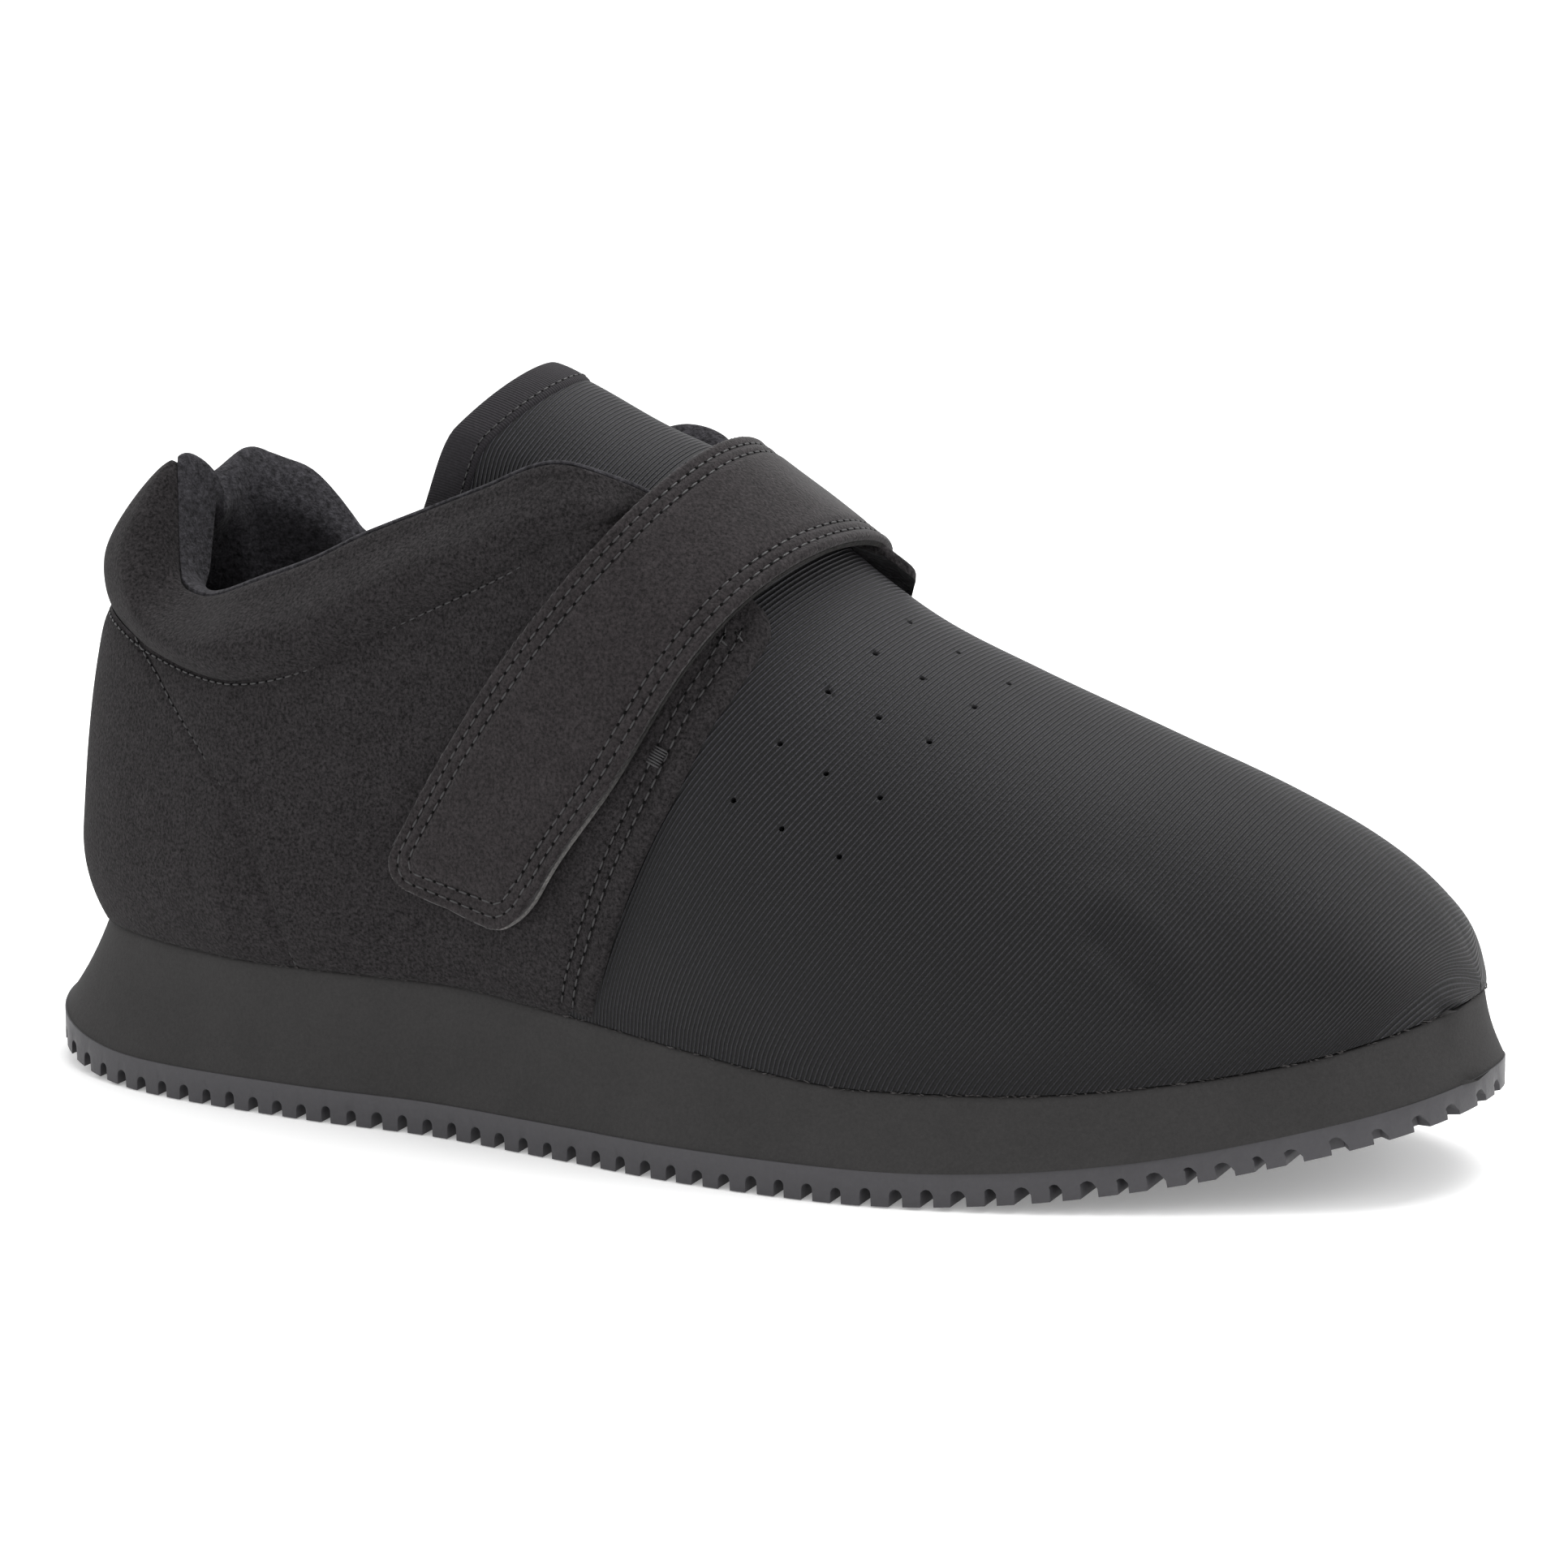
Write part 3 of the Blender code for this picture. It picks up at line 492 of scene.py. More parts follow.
class Form:
    """The form of the foot inside the upper, grown outwards by any amount."""

    def __init__(self, grow=0.0):
        at_feather = grow if grow < 0 else grow * FEATHER_SHARE
        self.grow = grow
        self.belly = grow - at_feather
        self.plan = Plan(1, -at_feather)

    def section(self, x):
        """The ridge's height and the two powers of the section."""
        cone, instep, shoulder, crown = (spline(UPPER_SECTIONS, k, x / SHOE_LENGTH) for k in (1, 2, 3, 4))
        return CONE_HEIGHT * cone + INSTEP_HEIGHT * instep + self.grow, shoulder, crown

    def wall(self, columns, share, rise=0.0):
        """Points at a share of the height from the feather line to the ridge."""
        edge, outward, spine = columns
        x = spine[..., 0]
        foot = sole_top(edge[..., 0]) + GAP
        top, shoulder, crown = self.section(x)
        climb = (top + rise - foot) * share
        low = np.clip(1 - climb / TUCK_HEIGHT, 0, 1)
        belly = (spline(UPPER_SECTIONS, 5, x / SHOE_LENGTH) + self.belly) * (1 - low**2) + rise
        out = (1 - share**shoulder) ** (1 / crown)
        plan = spine + (edge - spine + outward * belly[..., None]) * out[..., None]
        return np.concatenate([plan, (foot + climb)[..., None]], axis=-1)

    def at_height(self, place, z, sign, rise=0.0):
        """Points of the wall at a place along the heel and one side, at the heights given."""
        columns = self.plan.column(place, sign)
        foot = sole_top(columns.edge[..., 0]) + GAP
        top = self.section(columns.spine[..., 0])[0]
        return self.wall(columns, np.clip((z - foot) / (top - foot), 0, 1), rise + 0 * foot)

    def side_point(self, x, turn, rise=0.0):
        """The point at x, turned from -1 at the lateral feather line over 0 to 1 at the medial one."""
        x, turn, rise = np.broadcast_arrays(x, turn, rise)
        y, *outward = np.where(turn < 0, self.plan.side(x, -1), self.plan.side(x, 1))
        spine = np.stack([x, self.plan.middle(x)], axis=-1)
        share = np.cos(np.abs(turn) * math.pi / 2) ** (2 / self.section(x)[1])
        return self.wall(Columns(np.stack([x, y], axis=-1), np.stack(outward, axis=-1), spine), share, rise)


class TongueForm(Form):
    """The same form with the tongue's ridge instead of the ankle above the throat."""

    def section(self, x):
        ridge = INSTEP_HEIGHT * spline(TONGUE_SECTIONS, 1, x / SHOE_LENGTH) + self.grow
        return ridge, np.full(ridge.shape, 2.5), np.full(ridge.shape, 1.95)


FOOT = Form()
QUARTERS = Form(QUARTER_RISE)
TONGUE = TongueForm()


def seam_height(place, sign):
    """Height of the collar's lower seam at a place along the heel and one side."""
    x = np.asarray(place, float)
    for _ in range(5):
        z = spline(SEAM_LINE, 1, x / SHOE_LENGTH) * BACK_HEIGHT
        x = QUARTERS.at_height(place, z, sign)[..., 0]
    return z


def laid_band(share, across):
    """A point on the underside of the strap where it follows the form."""
    rear_x, rear_turn, front_x, front_turn, rear_lift, front_lift = (
        spline(BAND, k, share) for k in range(1, 7)
    )
    x = (rear_x + (front_x - rear_x) * across) * SHOE_LENGTH
    turn = rear_turn + (front_turn - rear_turn) * across
    rise = rear_lift + (front_lift - rear_lift) * np.clip(across, 0, 1)
    return QUARTERS.side_point(x, turn, rise + 0.0004)


def powers(share, across):
    """Products of powers: the strap curves along its length and is straight across."""
    return np.stack([share**i * across**j for i in range(8) for j in range(2)], axis=-1)


def taut_band():
    """The strap drawn taut: straight across between two smooth curves near its laid edges."""
    share, across = np.meshgrid(np.linspace(0, 1, 81), (0.0, 0.12, 0.88, 1.0), indexing="ij")
    laid = laid_band(share, across).reshape(-1, 3)
    return np.linalg.lstsq(powers(share, across).reshape(len(laid), -1), laid, rcond=None)[0]


TAUT_BAND = taut_band()


def band_point(share, across, level):
    """A point of the strap, across it from 0 at its rear edge to 1 at its front edge.

    It bulges beside the ring, where it goes over the corner of the medial quarter.
    """
    share, across = np.broadcast_arrays(share, across)
    step = 1e-4
    here = powers(share, across) @ TAUT_BAND
    aside = powers(share, across + step) @ TAUT_BAND - here
    ahead = powers(share + step, across) @ TAUT_BAND - here
    out = unit(np.cross(aside, ahead))
    bulge = 0.0012 * np.exp(-(((share - 0.80) / 0.07) ** 2)) * 4 * across * (1 - across)
    return here + out * (np.asarray(level) + bulge)[..., None]


# The rib coordinate runs along the ridge of the foot
RIDGE_X = np.linspace(0.28 * SHOE_LENGTH, FOOT.plan.tip[0], 600)
RIDGE_Z = np.where(RIDGE_X < THROAT, TONGUE.section(RIDGE_X)[0], FOOT.section(RIDGE_X)[0])
RIDGE_LENGTH = np.concatenate([[0], np.cumsum(np.hypot(np.diff(RIDGE_X), np.diff(RIDGE_Z)))])


def rib_map(points, x, turn):
    """Map of the ribbed cloth: u counts ribs along the ridge, v is the way along a rib.

    A rib starts at the ridge and runs back towards the sole, less and less towards the toe.
    """
    fade = 1 - 0.88 * np.clip((x / SHOE_LENGTH - 0.56) / 0.44, 0, 1) ** 1.75
    slant = sizes().rib_slant * fade * np.abs(turn) ** 1.9
    u = np.interp(x + slant, RIDGE_X, RIDGE_LENGTH) + np.maximum(0, x + slant - RIDGE_X[-1])
    step = np.linalg.norm(np.diff(points, axis=1), axis=2)
    v = np.concatenate([np.zeros((len(points), 1)), np.cumsum(step, axis=1)], axis=1)
    return np.stack([u / sizes().rib_pitch, (v - v[:, [v.shape[1] // 2]]) / 0.001], axis=-1)


def crowded(length, step, edge=0.0, fine=0.0003):
    """Shares from 0 to 1, a step apart, that crowd over a short stretch before each end."""
    marks = np.linspace(edge, length - edge, max(2, int((length - 2 * edge) / step)))
    if not edge:
        return marks / length
    rim = edge * (np.linspace(0, 1, max(2, int(edge / fine)) + 1)[:-1] ** 1.4)
    return np.concatenate([rim, marks, length - rim[::-1]]) / length


def rounded(distance, radius):
    """From 0 at an edge to 1 at a radius from it, on a quarter circle."""
    t = np.clip(distance / radius, 0, 1)
    return np.sqrt(1 - (1 - t) ** 2)


def dent(distance, width):
    """From 1 on a line to 0 away from it."""
    return np.exp(-((distance / width) ** 2))


def grid_faces(rows, columns, start=0):
    index = np.arange(rows * columns).reshape(rows, columns) + start
    corners = (index[:-1, :-1], index[:-1, 1:], index[1:, 1:], index[1:, :-1])
    return np.stack(corners, axis=-1).reshape(-1, 4)


def sheet(outer, inner):
    """Points and faces of a closed sheet between two grids of points, and the number of outer faces."""
    rows, columns = outer.shape[:2]
    size = rows * columns
    index = np.arange(size).reshape(rows, columns)
    border = np.concatenate([index[0], index[1:, -1], index[-1, -2::-1], index[-2:0:-1, 0]])
    after = np.roll(border, -1)
    top = grid_faces(rows, columns)
    rim = np.stack([after, border, border + size, after + size], axis=-1)
    faces = np.concatenate([top, grid_faces(rows, columns, size)[:, ::-1], rim])
    return np.concatenate([outer.reshape(-1, 3), inner.reshape(-1, 3)]), faces, len(top)


def tube(sections):
    """Points and faces of a form made of closed loops, its ends closed."""
    count, size = sections.shape[:2]
    index = np.arange(count * size).reshape(count, size)
    index = np.concatenate([index, index[:, :1]], axis=1)
    corners = (index[:-1, :-1], index[1:, :-1], index[1:, 1:], index[:-1, 1:])
    faces = np.stack(corners, axis=-1).reshape(-1, 4)
    points = np.concatenate([sections.reshape(-1, 3), sections[[0, -1]].mean(axis=1)])
    last = count * size
    caps = [(last, b, a, a) for a, b in zip(index[0, :-1], index[0, 1:])]
    caps += [(last + 1, a, b, b) for a, b in zip(index[-1, :-1], index[-1, 1:])]
    return points, np.concatenate([faces, np.array(caps)])


def way_to(points, lines):
    """Distance from each point to the nearest of some lines of close points."""
    marks = np.concatenate([np.asarray(line).reshape(-1, 3) for line in lines])
    tree = KDTree(len(marks))
    for k, mark in enumerate(marks):
        tree.insert(mark, k)
    tree.balance()
    flat = points.reshape(-1, 3)
    return np.array([tree.find(point)[2] for point in flat]).reshape(points.shape[:-1])


def added(name, data):
    """A new object in the scene."""
    obj = bpy.data.objects.new(name, data)
    bpy.context.scene.collection.objects.link(obj)
    return obj


def mesh_of(name, points, faces, looks=(), kinds=None):
    """A mesh with its materials, and the number of the material of each face."""
    mesh = bpy.data.meshes.new(name)
    mesh.from_pydata(points, [], faces)
    for look in looks:
        mesh.materials.append(look)
    if kinds is not None:
        mesh.polygons.foreach_set("material_index", np.asarray(kinds, np.int32))
    return mesh


def close_up(mesh):
    """Joins points that lie on each other and turns all faces outwards."""
    shape = bmesh.new()
    shape.from_mesh(mesh)
    bmesh.ops.remove_doubles(shape, verts=shape.verts, dist=1e-6)
    bmesh.ops.recalc_face_normals(shape, faces=shape.faces)
    if shape.calc_volume(signed=True) < 0:
        bmesh.ops.reverse_faces(shape, faces=shape.faces)
    shape.to_mesh(mesh)
    shape.free()


def piece(name, points, faces, looks, replaces=(), cloth=None, kinds=None, sharp=40):
    """A finished mesh piece that rides on the shoe, moved so that the sole's middle is the origin."""
    loops = [tuple(dict.fromkeys(face)) for face in np.asarray(faces).tolist()]
    mesh = mesh_of(name, (np.asarray(points, float) - ORIGIN).tolist(), loops, looks, kinds)
    if cloth is not None:
        chart = mesh.uv_layers.new(name="cloth")
        corner = np.empty(len(mesh.loops), np.int32)
        mesh.loops.foreach_get("vertex_index", corner)
        chart.data.foreach_set("uv", np.asarray(cloth, np.float32).reshape(-1, 2)[corner].ravel())
    close_up(mesh)
    mesh.shade_smooth()
    mesh.set_sharp_from_angle(angle=math.radians(sharp))
    return settled(added(name, mesh), replaces)


def lined(faces, top):
    """Material numbers of a sheet: cloth outside and round the rim, lining inside."""
    kinds = np.zeros(len(faces))
    kinds[top : 2 * top] = 1
    return kinds


def settled(obj, replaces=()):
    """The piece rides on the shoe and stands for its solids."""
    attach(obj, "root")
    if replaces:
        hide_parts(*replaces)
    return obj


def deselect():
    for obj in bpy.context.selected_objects:
        obj.select_set(False)


def apply_modifiers(obj):
    deselect()
    bpy.context.view_layer.objects.active = obj
    obj.select_set(True)
    for step in list(obj.modifiers):
        bpy.ops.object.modifier_apply(modifier=step.name)


def template(make, **settings):
    """Points and faces of one primitive, which is removed again."""
    deselect()
    make(**settings)
    obj = bpy.context.active_object
    points = np.array([v.co for v in obj.data.vertices])
    faces = [tuple(p.vertices) for p in obj.data.polygons]
    bpy.data.objects.remove(obj)
    return points, faces


def evenly(places, lifted, step):
    """Places a step apart on a line, with the directions along it and out of the cloth."""
    length = way_along(places)
    count = max(2, int(round(length[-1] / step)))
    at = (np.arange(count) + 0.5) * length[-1] / count

    def read(values, where):
        return np.stack([np.interp(where, length, values[:, k]) for k in range(3)], axis=1)

    centre = read(places, at)
    along = unit(read(places, at + 0.4 * step) - read(places, at - 0.4 * step))
    out = read(lifted, at) - centre
    out = unit(out - along * (out * along).sum(axis=1)[:, None])
    return centre, along, out


def copies(base, spots, size):
    """Copies of a template at each spot: its axes go along the line, across it and out of the cloth.

    The three sizes are the same for all copies, or given for each.
    """
    points, faces = base
    centre, along, out = spots
    across = np.cross(out, along)
    shaped = points * np.asarray(size)[..., None, :]
    place = (
        centre[:, None]
        + shaped[..., :1] * along[:, None]
        + shaped[..., 1:2] * across[:, None]
        + shaped[..., 2:] * out[:, None]
    )
    count = len(points)
    made = [tuple(count * k + i for i in face) for k in range(len(centre)) for face in faces]
    return place.reshape(-1, 3), made


def joined(parts):
    """Points, faces and material numbers of several groups of copies."""
    points, faces, kinds = [], [], []
    start = 0
    for (place, made), kind in parts:
        points.append(place)
        faces += [tuple(start + i for i in face) for face in made]
        kinds += [kind] * len(made)
        start += len(place)
    return np.concatenate(points), faces, kinds


def loose_piece(name, parts, looks):
    """A piece made of many small closed copies."""
    points, faces, kinds = joined(parts)
    mesh = mesh_of(name, (points - ORIGIN).tolist(), faces, looks, kinds)
    mesh.shade_smooth()
    return settled(added(name, mesh))


def node(tree, kind, inputs=None, **settings):
    """Adds a node with its settings; an input takes a value or another node's output."""
    made = tree.nodes.new(kind)
    for name, value in settings.items():
        setattr(made, name, value)
    for name, value in (inputs or {}).items():
        if isinstance(value, bpy.types.NodeSocket):
            tree.links.new(value, made.inputs[name])
        else:
            made.inputs[name].default_value = value
    return made


def finish(name, roughness, tone=None, **constants):
    """A Principled material with its constant sockets set."""
    look = bpy.data.materials.new(name)
    look.use_nodes = True
    shader = look.node_tree.nodes["Principled BSDF"]
    shader.inputs["Roughness"].default_value = roughness
    if tone is not None:
        shader.inputs["Base Color"].default_value = (*tone, 1)
    for socket, value in constants.items():
        shader.inputs[socket.replace("_", " ")].default_value = value
    return look, look.node_tree, shader


def noise(tree, vector, grain, detail=2.0, roughness=0.6):
    """Noise whose grain has a real size in metres."""
    return node(
        tree, "ShaderNodeTexNoise",
        {"Vector": vector, "Scale": 1 / grain, "Detail": detail, "Roughness": roughness},
    ).outputs["Fac"]


def remap(tree, value, low, high, start=0.3, end=0.7):
    return node(
        tree, "ShaderNodeMapRange",
        {"Value": value, "From Min": start, "From Max": end, "To Min": low, "To Max": high},
    ).outputs["Result"]


def times(tree, first, second):
    return node(tree, "ShaderNodeMath", {0: first, 1: second}, operation="MULTIPLY").outputs[0]


def toned(tree, shader, tone, *shares):
    """The base colour, made lighter and darker by the shares."""
    share = shares[0]
    for other in shares[1:]:
        share = times(tree, share, other)
    made = node(tree, "ShaderNodeVectorMath", {0: tuple(tone), "Scale": share}, operation="SCALE")
    tree.links.new(made.outputs["Vector"], shader.inputs["Base Color"])


def raised(tree, shader, height, relief):
    bump = node(tree, "ShaderNodeBump", {"Height": height, "Distance": relief, "Strength": 1.0})
    tree.links.new(bump.outputs["Normal"], shader.inputs["Normal"])


def object_place(tree):
    return node(tree, "ShaderNodeTexCoord").outputs["Object"]


def brushed_cloth():
    """Loop cloth with a teased nap, laminated on foam: matt, with a faint bloom at grazing angles."""
    look, tree, shader = finish(
        "brushed_loop_cloth", 1.0, Specular_IOR_Level=0.12, Sheen_Weight=0.03, Sheen_Roughness=0.5
    )
    place = object_place(tree)
    fibre = noise(tree, place, 0.0006, 2.0, 0.7)
    patch = noise(tree, place, 0.0080, 2.0)
    toned(tree, shader, colours().nap, remap(tree, fibre, 0.25, 1.80), remap(tree, patch, 0.93, 1.07))
    raised(tree, shader, fibre, 0.00035)
    return look


def microsuede():
    """Sanded microfibre: a short even nap, a little lighter than the brushed cloth."""
    look, tree, shader = finish(
        "microsuede", 1.0, Specular_IOR_Level=0.15, Sheen_Weight=0.19, Sheen_Roughness=0.4
    )
    place = object_place(tree)
    fibre = noise(tree, place, 0.0006, 2.0, 0.7)
    patch = noise(tree, place, 0.0050, 3.0)
    toned(tree, shader, colours().suede, remap(tree, fibre, 0.35, 1.60), remap(tree, patch, 0.90, 1.10))
    raised(tree, shader, fibre, 0.00018)
    return look


def ribbed_cloth():
    """Nylon rib knit: rounded, slightly glossy ribs whose grooves are darkened with painted shade, and a
    fine stitch along them.

    Towards the sole and the toe the ribs are darkened: painted shade.
    """
    look, tree, shader = finish("nylon_rib_knit", 0.55, Specular_IOR_Level=0.22, Sheen_Weight=0.02)
    chart = node(tree, "ShaderNodeUVMap", uv_map="cloth").outputs["UV"]
    parts = node(tree, "ShaderNodeSeparateXYZ", {"Vector": chart})
    count, along = parts.outputs["X"], parts.outputs["Y"]
    wave = node(tree, "ShaderNodeMath", {0: times(tree, count, math.tau)}, operation="SINE").outputs[0]
    crest = remap(tree, wave, 0.0, 1.0, -1.0, 1.0)
    round_crest = node(tree, "ShaderNodeMath", {0: crest, 1: 3.0}, operation="POWER").outputs[0]
    far = node(tree, "ShaderNodeMath", {0: along}, operation="ABSOLUTE").outputs[0]
    ahead = node(tree, "ShaderNodeSeparateXYZ", {"Vector": object_place(tree)}).outputs["X"]
    # Painted shade: the colour darkens along each rib towards the sole and, by x, towards the toe.
    closed = times(tree, remap(tree, far, 1.0, 0.55, 25.0, 85.0), remap(tree, ahead, 1.0, 0.62, 0.03, 0.11))
    loops = node(
        tree, "ShaderNodeCombineXYZ", {"X": times(tree, count, 1.3), "Y": times(tree, along, 1.5)}
    )
    knit = noise(tree, loops.outputs["Vector"], 1.0, 2.0, 0.7)
    fuzz = noise(tree, object_place(tree), 0.014, 2.0)
    share = times(tree, times(tree, remap(tree, knit, 0.62, 1.45), remap(tree, fuzz, 0.93, 1.07)), closed)
    # Painted shade: the grooves between the ribs get the near-black valley colour, the crests the yarn's
    # lighter one.
    lit = node(
        tree, "ShaderNodeMix",
        {"Factor": round_crest, 6: (*colours().rib_valley_shade, 1), 7: (*colours().rib_crest, 1)},
        data_type="RGBA",
    )
    made = node(tree, "ShaderNodeVectorMath", {0: lit.outputs[2], "Scale": share}, operation="SCALE")
    tree.links.new(made.outputs["Vector"], shader.inputs["Base Color"])
    height = node(tree, "ShaderNodeMath", {0: times(tree, knit, 0.25), 1: round_crest}, operation="ADD")
    raised(tree, shader, height.outputs[0], 0.00050)
    return look


def terry_cloth():
    """Looped terry: coarse soft loops that catch light on top and are dark between."""
    look, tree, shader = finish(
        "looped_terry", 1.0, Specular_IOR_Level=0.10, Sheen_Weight=0.04, Sheen_Roughness=0.5
    )
    place = object_place(tree)
    loops = noise(tree, place, 0.0011, 2.0, 0.65)
    fine = noise(tree, place, 0.0004, 2.0, 0.7)
    toned(tree, shader, colours().terry, remap(tree, loops, 0.45, 1.55), remap(tree, fine, 0.75, 1.25))
    raised(tree, shader, loops, 0.00055)
    return look


def smooth_knit():
    """Smooth stretch binding: a tight jersey whose fine wales run across it."""
    look, tree, shader = finish("stretch_jersey", 0.85, Specular_IOR_Level=0.2, Sheen_Weight=0.03)
    chart = node(tree, "ShaderNodeUVMap", uv_map="cloth").outputs["UV"]
    parts = node(tree, "ShaderNodeSeparateXYZ", {"Vector": chart})
    wale = node(
        tree, "ShaderNodeMath",
        {0: times(tree, parts.outputs["X"], math.tau / 0.55)}, operation="SINE",
    ).outputs[0]
    fine = noise(tree, object_place(tree), 0.0006, 3.0, 0.7)
    toned(
        tree, shader, colours().binding,
        remap(tree, wale, 0.78, 1.18, -1.0, 1.0), remap(tree, fine, 0.72, 1.28),
    )
    raised(tree, shader, times(tree, wale, fine), 0.00012)
    return look


def foam():
    """Moulded EVA foam with ground sides: matt, with a fine open grain."""
    look, tree, shader = finish("eva_foam", 0.85, Specular_IOR_Level=0.25)
    place = object_place(tree)
    grain = noise(tree, place, 0.0007, 4.0, 0.8)
    rub = noise(tree, place, 0.0150, 3.0)
    toned(tree, shader, colours().foam, remap(tree, grain, 0.82, 1.18), remap(tree, rub, 0.92, 1.08))
    raised(tree, shader, grain, 0.00012)
    return look


def rubber():
    """Moulded rubber: darker and denser than the foam, with a dull gloss and faint scuffs."""
    look, tree, shader = finish("moulded_rubber", 0.5, Specular_IOR_Level=0.4)
    place = object_place(tree)
    scuff = noise(tree, place, 0.0060, 4.0, 0.7)
    fine = noise(tree, place, 0.0010, 3.0, 0.7)
    toned(tree, shader, colours().rubber, remap(tree, scuff, 0.90, 1.12), remap(tree, fine, 0.93, 1.07))
    tree.links.new(remap(tree, scuff, 0.42, 0.62), shader.inputs["Roughness"])
    raised(tree, shader, fine, 0.00006)
    return look


def cut_edge():
    """Cut edge of the backing: pale fibres at the worn free end, dyed dark further up."""
    look, tree, shader = finish("cut_backing", 1.0, Specular_IOR_Level=0.15)
    place = object_place(tree)
    fibre = noise(tree, place, 0.0007, 3.0, 0.8)
    patch = noise(tree, place, 0.0060, 2.0)
    height = node(tree, "ShaderNodeSeparateXYZ", {"Vector": place}).outputs["Z"]
    bare = times(tree, remap(tree, height, 1.0, 0.16, 0.058, 0.082), remap(tree, patch, 0.75, 1.2))
    toned(tree, shader, colours().cut_edge, remap(tree, fibre, 0.45, 1.45), bare)
    raised(tree, shader, fibre, 0.0003)
    return look


def cement():
    """Dried cement with fuzz in it: matt crumbs, little lighter than the cloth."""
    look, tree, shader = finish("dried_cement", 0.9, Specular_IOR_Level=0.2)
    fibre = noise(tree, object_place(tree), 0.0007, 3.0, 0.8)
    toned(tree, shader, colours().cement, remap(tree, fibre, 0.3, 1.6))
    return look


def sewing_thread():
    """Spun polyester thread: a dull gloss on each short stitch."""
    look, tree, shader = finish("polyester_thread", 0.45)
    fine = noise(tree, object_place(tree), 0.0005, 2.0, 0.7)
    toned(tree, shader, colours().thread, remap(tree, fine, 0.6, 1.5))
    return look


def needle_hole_shade():
    """Near-black colour for the blob beside each stitch: painted shade of the hole that the needle leaves.
    """
    return finish("needle_hole_shade", 1.0, linear("#080808"), Specular_IOR_Level=0.1)[0]


def moulded_plastic():
    """Moulded nylon: smooth, with a dull gloss."""
    look, tree, shader = finish("moulded_nylon", 0.35, colours().plastic)
    fine = noise(tree, object_place(tree), 0.0015, 2.0)
    tree.links.new(remap(tree, fine, 0.30, 0.42), shader.inputs["Roughness"])
    return look


def footbed_cloth():
    """Brushed knit glued on the footbed: matt and flat, with a fine grain."""
    look, tree, shader = finish("footbed_knit", 1.0, Specular_IOR_Level=0.15)
    place = object_place(tree)
    fine = noise(tree, place, 0.0008, 3.0, 0.7)
    toned(tree, shader, colours().footbed, remap(tree, fine, 0.75, 1.25))
    raised(tree, shader, fine, 0.0002)
    return look


LOOKS = {}


def look_of(make):
    """Each material is made once."""
    if make not in LOOKS:
        LOOKS[make] = make()
    return LOOKS[make]


def quarter_border(count=240):
    """The free front edge of the quarters in side view: up to the corner and back to the throat."""
    front = closed_free([(a * SHOE_LENGTH, b * INSTEP_HEIGHT) for a, b in QUARTER_EDGE], count)
    top = closed_free([(a * SHOE_LENGTH, b * INSTEP_HEIGHT) for a, b in QUARTER_TOP[::-1]], count // 3)
    return np.concatenate([front, top[1:]])


def closed_free(points, count):
    """A smooth open curve through points, with even steps."""
    points = np.asarray(points, float)
    ends = np.concatenate([[2 * points[0] - points[1]], points, [2 * points[-1] - points[-2]]])
    t = np.linspace(0, 1, 9)[:-1, None, None]
    a, b, c, d = ends[:-3], ends[1:-2], ends[2:-1], ends[3:]
    curve = (2 * b + (c - a) * t + (2 * a - 5 * b + 4 * c - d) * t**2 + (3 * b - a - 3 * c + d) * t**3) / 2
    curve = np.concatenate([np.transpose(curve, (1, 0, 2)).reshape(-1, points.shape[1]), points[-1:]])
    length = way_along(curve)
    at = np.linspace(0, length[-1], count)
    return np.stack([np.interp(at, length, curve[:, k]) for k in range(points.shape[1])], axis=1)


def inset_line(line, distance):
    """A side-view line moved to its left side."""
    along = np.gradient(line, axis=0)
    return line + unit(np.stack([-along[:, 1], along[:, 0]], axis=1)) * distance


def on_quarters(line, sign, rise=0.0):
    """A side-view line laid on the quarters."""
    return QUARTERS.at_height(line[:, 0], line[:, 1], sign, rise)


def counter_line():
    return closed_free([(a * SHOE_LENGTH, b * BACK_HEIGHT) for a, b in COUNTER_SEAM], 120)


def near_heel(place):
    """From 1 at the middle of the heel's back to 0 where the heel ends."""
    return np.clip(1 - place / (0.3 * SHOE_LENGTH), 0, 1)


def collar_line(sign, rise=0.0, below=0.0):
    """The collar's lower seam on one side, or a line below it, from the back to the throat.

    A line below the seam lies in its dent, which is deeper at the heel.
    """
    place = np.linspace(0, 0.50 * SHOE_LENGTH, 260)
    if below:
        rise = rise - 0.0006 * near_heel(place)
    return QUARTERS.at_height(place, seam_height(place, sign) - below, sign, rise)


FRONT_ROWS = (0.0042, 0.0066)


def front_seams(sign, rise=0.0):
    """The two rows of stitches behind the front edge of the quarters."""
    line = quarter_border()
    above = line[:, 1] > sole_top(line[:, 0]) + 0.001
    return [on_quarters(inset_line(line[above][:-70], row), sign, rise) for row in FRONT_ROWS]


